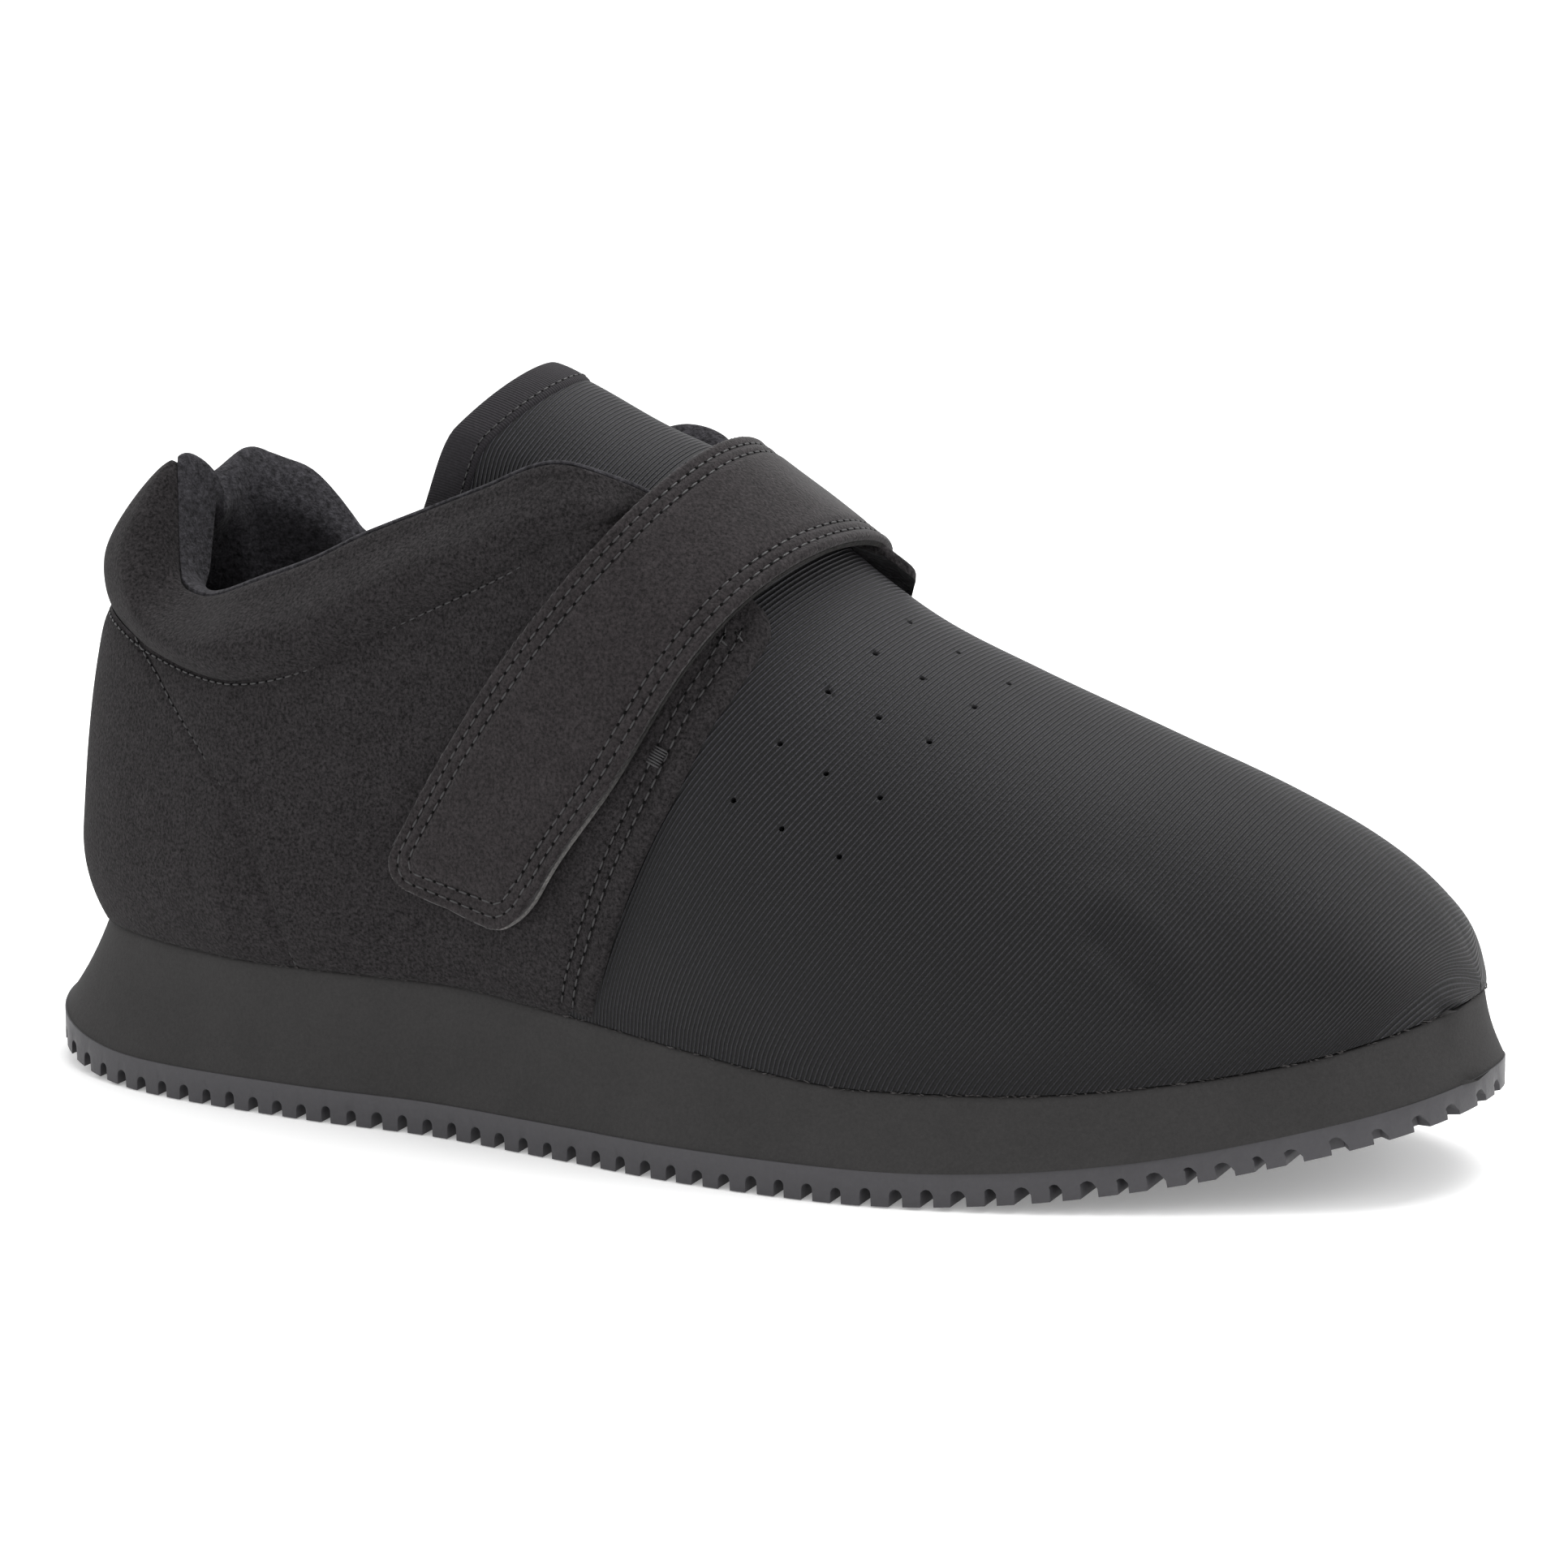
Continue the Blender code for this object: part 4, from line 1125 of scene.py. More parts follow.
def make_outsole():
    """Rubber plate with notches right across its tread and short ones round the toe."""
    deselect()
    bpy.ops.mesh.primitive_circle_add(vertices=len(EDGE), radius=0.1, fill_type="NGON")
    plate = bpy.context.active_object
    plate.name = "outsole_rubber"
    for vertex, (x, y) in zip(plate.data.vertices, EDGE):
        vertex.co = (x, y, 0)
    deselect()
    plate.select_set(True)
    bpy.ops.object.mode_set(mode="EDIT")
    bpy.ops.mesh.select_all(action="SELECT")
    bpy.ops.mesh.extrude_region_move(TRANSFORM_OT_translate={"value": (0, 0, OUTSOLE_THICKNESS)})
    bpy.ops.mesh.select_all(action="SELECT")
    bpy.ops.mesh.normals_make_consistent(inside=False)
    shape = bmesh.from_edit_mesh(plate.data)
    for x in np.arange(0.006, SHOE_LENGTH, 0.006):
        bmesh.ops.bisect_plane(
            shape, geom=shape.verts[:] + shape.edges[:] + shape.faces[:],
            plane_co=(x, 0, 0), plane_no=(1, 0, 0),
        )
    bmesh.update_edit_mesh(plate.data)
    bpy.ops.object.mode_set(mode="OBJECT")
    for vertex in plate.data.vertices:
        x = vertex.co.x
        above = vertex.co.z > OUTSOLE_THICKNESS / 2
        vertex.co.z = float(outsole_top(x) if above else lift(x))
        if above and toe_share(x) > 0:
            vertex.co.y = MIDDLE[1] + (vertex.co.y - MIDDLE[1]) * (1 - 0.02 * float(toe_share(x)) ** 0.5)
    notches = notch_cutter()
    cut = plate.modifiers.new("notches", "BOOLEAN")
    cut.object = notches
    cut.operation = "DIFFERENCE"
    cut.solver = "EXACT"
    edge = plate.modifiers.new("worn_edges", "BEVEL")
    edge.width = 0.00035
    edge.segments = 2
    edge.limit_method = "ANGLE"
    edge.angle_limit = math.radians(40)
    apply_modifiers(plate)
    bpy.data.objects.remove(notches)
    for vertex in plate.data.vertices:
        vertex.co.x -= MIDDLE[0]
        vertex.co.y -= MIDDLE[1]
    plate.data.materials.append(look_of(rubber))
    plate.data.shade_smooth()
    plate.data.set_sharp_from_angle(angle=math.radians(35))
    return settled(plate, ["outsole"])


def notch_cutter():
    """All notches as one mesh: bars across the sole, and short ones round the toe."""
    rng = random.Random(5)
    tip = EDGE[:, 0].max()
    count = int((tip - 2 * SOLE_END) / LUG_PITCH)
    first = SOLE_END + (tip - 2 * SOLE_END - count * LUG_PITCH) / 2 + GROOVE_WIDTH / 2
    bars = [(first + k * LUG_PITCH, 0.0, (0.0, 1.0), 0.08, k % 2) for k in range(count)]
    bars = [bar for bar in bars if bar[0] < 0.915 * SHOE_LENGTH]
    length = way_along(EDGE)
    for at in np.arange(0, length[-1], 0.0078):
        k = int(np.searchsorted(length, at))
        if EDGE[k, 0] > 0.93 * SHOE_LENGTH:
            bars.append((*EDGE[k], tuple(EDGE_INWARD[k]), 0.0045, 1))
    points, faces = [], []
    for x, y, along, reach, odd in bars:
        front = float(toe_share(x))
        half = GROOVE_WIDTH / 2 * (1 + (0.45 if odd else -0.10) * min(1, 3 * front))
        half *= rng.uniform(0.9, 1.1)
        depth = GROOVE_DEPTH * rng.uniform(0.98, 1.12) * (1 - 0.15 * front)
        slant = -0.25 * front * depth
        bottom = float(lift(x))
        turn = np.linspace(0, math.pi, 7)
        section = [(half * 1.2 - 2 * slant, -0.004), (half, depth - half)]
        section += [(half * math.cos(a) + slant, depth - half + half * math.sin(a)) for a in turn[1:-1]]
        section += [(-half, depth - half), (-half * 1.2 - 2 * slant, -0.004)]
        start, size = len(points), len(section)
        points += [
            (x + a * along[1] + b * along[0], y - a * along[0] + b * along[1], bottom + z)
            for b in (-reach, reach)
            for a, z in section
        ]
        faces.append(tuple(start + i for i in range(size)))
        faces.append(tuple(start + size + i for i in reversed(range(size))))
        for i in range(size):
            j = (i + 1) % size
            faces.append((start + i, start + size + i, start + size + j, start + j))
    mesh = mesh_of("notches", points, faces)
    close_up(mesh)
    return added("notches", mesh)


def make_midsole():
    """Foam wedge whose sides are ground hollow, with a soft edge above and below."""
    rows = []
    for level in (0, 0.012, 0.03, 0.08, 0.16, 0.26, 0.38, 0.5, 0.62, 0.74, 0.84, 0.92, 0.97, 0.99, 1):
        soft = 0.0003 + 0.0003 * max(0, 1 - (1 - level) / 0.03) ** 2
        plan = Plan(level, 0.4 * SIDE_HOLLOW * math.sin(level * math.pi) + soft)
        edge = plan.ring[:, :2]
        low = outsole_top(edge[:, 0])
        wave = 0.00012 * np.sin(edge[:, 0] * 95 + 2) * math.sin(level * math.pi)
        edge = edge + plan.ring[:, 2:] * wave[:, None]
        rows.append(np.column_stack([edge, low + level * (sole_top(edge[:, 0]) - low)]))
    under, over = [], []
    for share in (0.3, 0.6, 0.9):
        for ring, rim, height in ((under, rows[0], outsole_top), (over, rows[-1], sole_top)):
            x = rim[:, 0]
            y = rim[:, 1] * (1 - share) + share * MIDDLE[1]
            ring.append(np.column_stack([x, y, height(x)]))
    points, faces = tube(np.array(under[::-1] + rows + over))
    return piece("midsole_foam", points, faces, [look_of(foam)], ["midsole"], sharp=60)


def make_footbed():
    """Cloth-covered footbed, cupped up along its edge."""
    start = WALL + 2 * GAP
    rows = []
    for inset, level in (
        (0.030, 0.0), (0.012, 0.0), (0.002, 0.0), (0.0002, 0.0008), (0, 0.0020), (0, 0.0036),
        (0.0004, 0.0043), (0.0012, INSOLE_THICKNESS), (0.003, 0.0043), (0.006, 0.0034),
        (0.010, 0.0025), (0.014, INSOLE_THICKNESS - INSOLE_CUP), (0.022, 0.0019), (0.030, 0.0019),
    ):
        edge = Plan(1, start + inset).ring[:, :2]
        rows.append(np.column_stack([edge, sole_top(edge[:, 0]) + GAP + level]))
    points, faces = tube(np.array(rows))
    return piece("footbed_cloth", points, faces, [look_of(footbed_cloth)], ["insole"])


def make_vamp():
    """Ribbed vamp, from under the quarters and the strap to the toe, with its vent holes."""
    turn = np.concatenate([-crowded(1, 0.0125)[::-1], crowded(1, 0.0125)[1:]])
    near = np.clip((np.abs(turn) - 0.45) / 0.45, 0, 1)
    rear = (0.516 - 0.080 * near * near * (3 - 2 * near)) * SHOE_LENGTH
    inside = Form(-WALL)
    share = 1 - (1 - np.linspace(0, 1, 190)[:, None]) ** 1.9
    x = rear + (FOOT.plan.tip[0] - rear) * share
    turn = np.broadcast_to(turn, x.shape)
    plain = FOOT.side_point(x, turn)
    crease = FOOT.side_point(*(closed_free(CREASE, 60) * (SHOE_LENGTH, 1)).T)
    away = way_to(plain, [crease])
    rise = -0.0010 * dent(away, 0.0035) + 0.0004 * dent(away - 0.0070, 0.004)
    rise += 0.0003 * np.sin(x * 85 + turn * 3) * np.cos(turn * 4.1 + x * 30) * (1 - np.abs(turn))
    outer = FOOT.side_point(x, turn, rise)
    inner = inside.side_point(rear + (inside.plan.tip[0] - 0.0005 - rear) * share, turn)
    points, faces, top = sheet(outer, inner)
    chart = rib_map(plain, x, turn)
    vamp = piece(
        "vamp_ribbed", points, faces, [look_of(ribbed_cloth), look_of(terry_cloth)],
        ["upper"], np.concatenate([chart.reshape(-1, 2)] * 2), lined(faces, top),
    )
    base = template(bpy.ops.mesh.primitive_cylinder_add, vertices=10, radius=0.5, depth=1)
    along, turns = np.array(VENT_HOLES).T
    centre = FOOT.side_point(along * SHOE_LENGTH, turns)
    out = unit(FOOT.side_point(along * SHOE_LENGTH, turns, 0.001) - centre)
    run = unit(np.cross(out, (0, 1, 0)))
    wide = sizes().vent
    drill = loose_piece(
        "vent_drill", [(copies(base, (centre, run, out), (wide, wide, 0.008)), 0)], [look_of(needle_hole_shade)],
    )
    drill.parent = None
    cut = vamp.modifiers.new("vents", "BOOLEAN")
    cut.object = drill
    cut.operation = "DIFFERENCE"
    cut.solver = "EXACT"
    apply_modifiers(vamp)
    bpy.data.objects.remove(drill)
    return vamp


def quarter_patch(across, up):
    """Places, heights and signs of a grid on both quarters: across from -1 over the back to 1."""
    sign = np.where(across < 0, -1, 1)
    u, v = np.broadcast_arrays(np.abs(across)[None, :], up[:, None])
    border = quarter_border()
    above = np.argmax(border[:, 1] > sole_top(border[:, 0]) + GAP)
    corner = int(border[:, 0].argmax())
    front = border[above : corner + 1]
    throat = border[corner:][::-1]
    place = np.linspace(0, THROAT, 300)
    shape = []
    for side in (-1, 1):
        seam = np.column_stack([place, seam_height(place, side)])
        top = np.concatenate([seam, throat[1:]])
        length = way_along(top)
        at = length / length[-1]
        t = np.stack([np.interp(u, at, top[:, k]) for k in (0, 1)])
        bottom = u * front[0, 0]
        b = np.stack([bottom, sole_top(FOOT.plan.column(bottom, side).edge[..., 0]) + GAP])
        rim = np.linspace(0, 1, len(front))
        r = np.stack([np.interp(v, rim, front[:, k]) for k in (0, 1)])
        low, high = float(sole_top(0)) + GAP, float(seam[0, 1])
        left = np.stack([0 * v, low + (high - low) * v])
        corners = (
            (1 - u) * (1 - v) * np.array([0, low])[:, None, None]
            + u * (1 - v) * front[0][:, None, None]
            + (1 - u) * v * np.array([0, high])[:, None, None]
            + u * v * front[-1][:, None, None]
        )
        shape.append((1 - v) * b + v * t + (1 - u) * left + u * r - corners)
    place, height = np.where(sign[None, :] < 0, shape[0], shape[1])
    return place, height, np.broadcast_to(sign, place.shape)


def make_quarters():
    """Brushed quarters in one wall round the heel, with their seams drawn in."""
    half = crowded(QUARTER_LENGTH, 0.00125)
    rim = 1 - np.array([0.0042, 0.0025, 0.0012, 0.0004, 0]) / QUARTER_LENGTH
    half = np.concatenate([half[half < rim[0] - 0.002], rim])
    across = np.concatenate([-half[::-1], half[1:]])
    rim = 1 - np.array([0.0028, 0.0018, 0.0009, 0.0003, 0]) / QUARTER_HEIGHT
    up = np.concatenate([crowded(QUARTER_HEIGHT, 0.0013)[:-2], rim])
    place, height, sign = quarter_patch(across, up)
    plain = QUARTERS.at_height(place, height, sign)
    border = quarter_border()
    edges = [on_quarters(border, side) for side in (-1, 1)]
    seams = [row for side in (-1, 1) for row in front_seams(side)]
    counter = [on_quarters(counter_line(), side) for side in (-1, 1)]
    collar = [collar_line(side) for side in (-1, 1)]
    depth = sizes().seam_depth
    from_edge = way_to(plain, edges)
    rise = -0.0016 * (1 - rounded(from_edge, 0.0009))
    rise -= depth * dent(way_to(plain, seams), 0.0009)
    rise -= 0.0006 * np.clip(1 - from_edge / 0.012, 0, 1)
    rise -= depth * dent(way_to(plain, counter), 0.0007)
    from_collar = way_to(plain, collar)
    rise -= 0.0004 * dent(from_collar, 0.0016)
    rise -= 0.0008 * near_heel(place) * dent(from_collar, 0.0035)
    rise += 0.0003 * np.sin(place * 60 + height * 25) * np.sin(height * 95)
    outer = QUARTERS.at_height(place, height, sign, rise)
    near = np.clip((place - 0.38 * SHOE_LENGTH) / (0.04 * SHOE_LENGTH), 0, 1)
    fall = -(WALL + QUARTER_RISE) * (1 - near) - (QUARTER_RISE - 0.0001) * near
    inner = QUARTERS.at_height(place, height, sign, fall)
    points, faces, top = sheet(outer, inner)
    return piece(
        "quarters_brushed", points, faces, [look_of(brushed_cloth), look_of(terry_cloth)],
        kinds=lined(faces, top), sharp=70,
    )


def make_collar():
    """Padded roll round the ankle: brushed cloth outside, terry from the topline seam inwards."""
    end = COLLAR_SECTIONS[-1][0] * SHOE_LENGTH
    half = end * (1 - (1 - crowded(1, 0.0072)) ** 1.25)
    place = np.concatenate([half[::-1], half[1:]])
    sign = np.concatenate([-np.ones(len(half)), np.ones(len(half) - 1)])
    columns = QUARTERS.plan.column(place, sign)
    way = unit(columns.edge - columns.spine)
    foot = QUARTERS.at_height(place, seam_height(place, sign), sign)
    along = foot[:, 0] / SHOE_LENGTH
    lateral, medial, lean, thickness, bulge = (spline(COLLAR_SECTIONS, k, along) for k in range(1, 6))
    topline = np.where(sign < 0, lateral, medial) * BACK_HEIGHT
    each, seam = 12, 33
    number = np.sort(np.concatenate([np.arange(7 * each), seam + np.arange(-5, 6) * 0.27]))
    sections = []
    for k in range(len(place)):
        low, high = foot[k, 2] - 0.0010, topline[k]
        rise, thick = high - low, thickness[k] * COLLAR_THICKNESS
        loop = closed_curve(
            (
                (-0.10 * thick, low),
                (bulge[k], low + 0.38 * rise),
                (-0.42 * lean[k], high - 0.22 * rise),
                (-lean[k], high),
                (-0.50 * thick - lean[k], high - 0.22 * rise),
                (-0.80 * thick - 0.35 * lean[k], low + 0.45 * rise),
                (-0.75 * thick, low),
            ),
            each,
        )
        loop = np.stack([np.interp(number, np.arange(7 * each), loop[:, i]) for i in (0, 1)], axis=1)
        out = np.gradient(loop, axis=0)
        out = np.stack([out[:, 1], -out[:, 0]], axis=1) / (np.linalg.norm(out, axis=1)[:, None] + 1e-9)
        soft = 0.0003 * math.sin(place[k] * 130 * sign[k] + 1) * np.sin(number / (7 * each) * math.tau * 2)
        pinch = 0.0011 * dent(number - seam, 0.55) + 0.0004 * dent(number - seam, 2.2)
        loop = loop + out * (soft - pinch)[:, None]
        cap = min(1.0, (end - place[k]) / 0.006)
        centre = loop.mean(axis=0)
        loop = centre + (loop - centre) * math.sqrt(max(0.0, 1 - (1 - cap) ** 2)) ** 0.8
        plan = foot[k, :2] + way[k] * loop[:, :1]
        sections.append(np.column_stack([plan, np.maximum(loop[:, 1], low)]))
    sections = np.array(sections)
    points, faces = tube(sections)
    at = number[np.arange(len(faces)) % len(number)]
    kinds = np.where((at >= seam) & (at < 7 * each - 3), 1, 0)
    collar = piece(
        "collar_roll", points, faces, [look_of(brushed_cloth), look_of(terry_cloth)],
        ["collar"], kinds=kinds, sharp=80,
    )
    return collar


def tongue_top(turn):
    """x of the tongue's top edge, which rounds back towards the ankle at both sides."""
    share = (turn / 0.43) ** 2
    return (TONGUE_TOP - TONGUE_ROUNDING * share * (1 - 0.12 * share)) * SHOE_LENGTH


def tongue_point(x, turn, rise):
    """A point of the tongue, whose sides turn in under the collar."""
    aside = np.clip((np.abs(turn) - 0.34) / 0.17, 0, 1)
    above = np.clip((0.47 - x / SHOE_LENGTH) / 0.05, 0, 1)
    return TONGUE.side_point(x, turn, rise - 0.010 * above * aside * aside * (3 - 2 * aside))


def tongue_place(distance, side):
    """x and turn of the tongue at a distance below its top edge, across it from -1 to 1."""
    turn = side * TONGUE_SECTIONS[0][2] + 0 * distance
    return tongue_top(turn) + distance, turn


def make_tongue():
    """Tongue of the ribbed cloth, from the binding down under the strap."""
    across = crowded(2, 0.03, 0.04, 0.012) * 2 - 1
    down = crowded(1, 0.02)[:, None]
    top, _ = tongue_place(BINDING_WIDTH - 0.0012, across)
    end = 0.522 * SHOE_LENGTH
    x = top + (end - top) * down
    narrow = spline(TONGUE_SECTIONS, 2, x / SHOE_LENGTH)
    start = TONGUE_SECTIONS[0][2]
    turn = across * (start + (np.minimum(narrow, start) - start) * np.clip(down * 4, 0, 1))
    edge = rounded((1 - np.abs(across)) * 0.030 + 0 * x, 0.0015)
    outer = tongue_point(x, turn, -0.0012 * (1 - edge))
    inner = tongue_point(x, turn, -TONGUE_THICKNESS + 0.0012 * (1 - edge))
    points, faces, outside = sheet(outer, inner)
    chart = rib_map(outer, x, turn)
    return piece(
        "tongue_ribbed", points, faces, [look_of(ribbed_cloth), look_of(terry_cloth)],
        ["tongue"], np.concatenate([chart.reshape(-1, 2)] * 2), lined(faces, outside),
    )


BINDING_LOOP = (
    # down from the top edge, out of the tongue
    (0.0080, -0.0002),
    (0.0078, 0.0003),
    (0.0070, 0.0006),
    (0.0045, 0.0008),
    (0.0018, 0.0007),
    (0.0006, 0.0003),
    (0.0000, -0.0006),
    (0.0000, -0.0022),
    (0.0006, -0.0032),
    (0.0018, -0.0036),
    (0.0045, -0.0037),
    (0.0070, -0.0035),
    (0.0080, -0.0028),
    (0.0079, -0.0015),
)


def make_binding():
    """Smooth binding folded over the top edge of the tongue."""
    loop = closed_curve(BINDING_LOOP, 3)
    side = np.linspace(-1, 1, 90)
    ends = rounded((1 - np.abs(side)) * 0.030, 0.0016)
    x, turn = tongue_place(loop[None, :, 0] * np.ones((90, 1)), side[:, None])
    grow = -0.0015 + (loop[None, :, 1] + 0.0015) * (0.35 + 0.65 * ends[:, None])
    sections = tongue_point(x, turn, grow)
    points, faces = tube(sections)
    run = way_along(sections[:, 9]) / 0.001
    chart = np.stack(np.broadcast_arrays(run[:, None], np.arange(len(loop))[None, :] * 0.5), axis=-1)
    chart = np.concatenate([chart.reshape(-1, 2), np.zeros((2, 2))])
    return piece(
        "tongue_binding_knit", points, faces, [look_of(smooth_knit)], ["tongue_binding"], chart
    )


def strap_grid(inset=0.0):
    """A grid of the strap between its rounded free end and the ring, inset by a share of its width."""
    across = crowded(1, 0.013, 0.04, 0.010)
    long, wide = STRAP_CORNER
    middle = (across - 0.5) * (1 - 2 * inset) + 0.5
    start = long * (1 - np.sqrt(1 - np.clip((abs(across - 0.5) - 0.5 + wide) / wide, 0, 1) ** 2))
    start = start + inset * 0.22
    down = crowded(1, 0.005, 0.012, 0.003)[:, None]
    share = start + (STRAP_END - start) * down
    return share, np.broadcast_to(middle, share.shape)


def strap_width(share):
    return np.linalg.norm(band_point(share, 1.0, 0) - band_point(share, 0.0, 0), axis=-1)


def strap_border(inset, step=0.0005):
    """Share and across of a line round the strap, so far inside its edge."""
    shares = np.linspace(0, STRAP_END, 300)
    run = way_along(band_point(shares, 0.5, 0))
    long, wide = STRAP_CORNER
    length = np.interp(long, shares, run)
    height = wide * strap_width(0.05)
    turn = np.linspace(0, math.pi / 2, 14)
    reach_x, reach_y = length - inset, height - inset
    corner = np.stack([length - reach_x * np.sin(turn), height - reach_y * np.cos(turn)], axis=1)
    side = np.linspace(run[-1], length, int(run[-1] / step))[:-1]
    rear = np.stack([side, np.full(len(side), inset)], axis=1)
    far = corner[::-1] * (1, -1) + (0, strap_width(0.0))
    flat_end = np.linspace(corner[-1], far[0], 40)[1:-1]
    path = np.concatenate([rear, corner, flat_end, far])
    share = np.interp(path[:, 0], run, shares)
    front = np.interp(side[::-1], run, shares)
    across = np.concatenate([path[:, 1] / strap_width(share), 1 - inset / strap_width(front)])
    return np.concatenate([share, front]), across


STRAP_ROWS = (0.0022, 0.0046)
TAB_ROW = 0.0025


def make_strap():
    """Suede strap with two sewn rows round its edge, on a paler backing whose cut edge shows."""
    share, across = strap_grid()
    plain = band_point(share, across, STRAP_THICKNESS)
    rows = [band_point(*strap_border(row), STRAP_THICKNESS) for row in STRAP_ROWS]
    edge = way_to(plain, [band_point(*strap_border(0.0), STRAP_THICKNESS)])
    level = STRAP_THICKNESS - 0.0009 * (1 - rounded(edge, 0.0009))
    level = level - 0.0004 * dent(way_to(plain, rows), 0.0008)
    level = level + 0.00008 * np.sin(share * 60) * np.sin(across * 9)
    outer = band_point(share, across, level)
    inner = band_point(share, across, 0.0010)
    points, faces, _ = sheet(outer, inner)
    top = piece("strap_suede", points, faces, [look_of(microsuede)], ["strap"], sharp=60)
    share, across = strap_grid(-0.008)
    points, faces, _ = sheet(band_point(share, across, 0.00095), band_point(share, across, 0))
    piece("strap_backing", points, faces, [look_of(cut_edge)], sharp=60)
    return top


def make_ring():
    """Flat ring of the strap, which the tab holds on the medial quarter."""
    (first, last), (long, wide) = RING_BARS, RING_CORNER
    turn = np.linspace(math.pi / 2, 0, 9)
    corner = np.stack(
        [-RING_OVERHANG + wide * (1 - np.sin(turn)), first + long * (1 - np.cos(turn))], axis=1
    )
    bar = np.column_stack([np.linspace(-RING_OVERHANG + wide, 0.5, 10)[1:], np.full(9, first)])
    quarter = np.concatenate([corner, bar])
    half = np.concatenate([quarter, quarter[-2::-1] * (-1, 1) + (1, 0)])
    across, share = np.concatenate([half, half[::-1] * (1, -1) + (0, first + last)]).T
    curve = bpy.data.curves.new("strap_ring_bar", "CURVE")
    curve.dimensions = "3D"
    curve.bevel_depth = RING_BAR / 2
    curve.bevel_resolution = 4
    path = curve.splines.new("POLY")
    centre = band_point(share, across, GAP + RING_BAR / 2) - ORIGIN
    path.points.add(len(centre) - 1)
    path.use_cyclic_u = True
    for point, place in zip(path.points, centre):
        point.co = (*place, 1)
    ring = added("strap_ring_bar", curve)
    deselect()
    bpy.context.view_layer.objects.active = ring
    ring.select_set(True)
    bpy.ops.object.convert(target="MESH")
    ring = bpy.context.active_object
    ring.data.materials.append(look_of(moulded_plastic))
    ring.data.shade_smooth()
    return settled(ring, ["strap_ring"])


def make_tab():
    """Short suede tab sewn to the medial quarter."""
    share = TAB_START + (1 - TAB_START) * crowded(1, 0.03, 0.03, 0.01)[:, None]
    across = 0.02 + 0.96 * crowded(1, 0.03, 0.04, 0.014)
    share, across = np.broadcast_arrays(share, across)
    plain = band_point(share, across, TAB_THICKNESS)
    edge, row = (way_to(plain, [band_point(*tab_border(inset), TAB_THICKNESS)]) for inset in (0, TAB_ROW))
    level = TAB_THICKNESS - 0.0007 * (1 - rounded(edge, 0.0009)) - 0.0003 * dent(row, 0.0007)
    points, faces, _ = sheet(band_point(share, across, level), band_point(share, across, 0))
    return piece("ring_tab_suede", points, faces, [look_of(microsuede)], ["ring_tab"])


def make_facing():
    """Front corner of the medial quarter, which the ring pulls up behind the ridge."""
    turn = np.linspace(0.13, 0.62, 40)[:, None]
    corner = np.clip((0.19 - turn) / 0.06, 0, 1)
    front = 0.609 - 0.10 * (turn - 0.13) - 0.016 * (1 - np.sqrt(1 - corner**2))
    x = (0.530 + (front - 0.530) * crowded(1, 0.03, 0.05, 0.015)) * SHOE_LENGTH
    turn = np.broadcast_to(turn, x.shape)
    pull = np.clip((0.55 - turn) / 0.42, 0, 1) * np.clip((x / SHOE_LENGTH - 0.560) / 0.028, 0, 1)
    lifted = 0.0038 * pull
    plain = QUARTERS.side_point(x, turn, lifted)
    edge = rounded(way_to(plain, [plain[:, -1], plain[0]]), 0.0010)
    outer = QUARTERS.side_point(x, turn, lifted - 0.0008 * (1 - edge))
    inner = QUARTERS.side_point(x, turn, lifted - 0.0021)
    points, faces, top = sheet(outer, inner)
    return piece(
        "medial_facing", points, faces, [look_of(brushed_cloth), look_of(terry_cloth)],
        kinds=lined(faces, top), sharp=70,
    )


def tab_border(inset):
    """Share and across of a line round the three free sides of the tab."""
    width, band_length, count = 0.036, 0.24, 60
    rear, front = 0.02 + inset / width, 0.98 - inset / width
    low = 1 - inset / band_length
    down = np.linspace(TAB_START, low, count)
    share = np.concatenate([down, np.full(count, low), down[::-1]])
    across = [np.full(count, rear), np.linspace(rear, front, count), np.full(count, front)]
    return share, np.concatenate(across)


def sewn_on_band(line, thickness):
    """A row of full stitches sunk into the strap or the tab."""
    return band_point(*line, thickness - 0.0003), band_point(*line, thickness), 1


def seam_rows():
    """Slot and rows of each group of stitches.

    A row is a line in the cloth, the same line above it and the share of the stitch length used there.
    """
    thick, depth = sizes().thread, sizes().seam_depth
    strap = [sewn_on_band(strap_border(row), STRAP_THICKNESS) for row in STRAP_ROWS]
    strap.append(sewn_on_band(tab_border(TAB_ROW), TAB_THICKNESS))
    quarters, collar = [], []
    counter = counter_line()
    for sign in (-1, 1):
        low, high = front_seams(sign, 0.1 * thick - depth), front_seams(sign, 0.001)
        quarters += [(a, b, 1) for a, b in zip(low, high)]
        quarters.append((on_quarters(counter, sign, -depth), on_quarters(counter, sign, 0.001), 0.8))
        collar.append((collar_line(sign, -0.0003, 0.0012), collar_line(sign, 0.001, 0.0012), 0.8))
    x, turn = tongue_place(0.0068, np.linspace(-0.97, 0.97, 200))
    tongue = [(tongue_point(x, turn, 0.0006), tongue_point(x, turn, 0.0016), 0.7)]
    return {
        "strap_stitches": ("microsuede", strap),
        "quarter_stitches": ("brushed_cloth", quarters),
        "collar_stitches": ("collar_cloth", collar),
        "tongue_stitches": ("binding", tongue),
    }


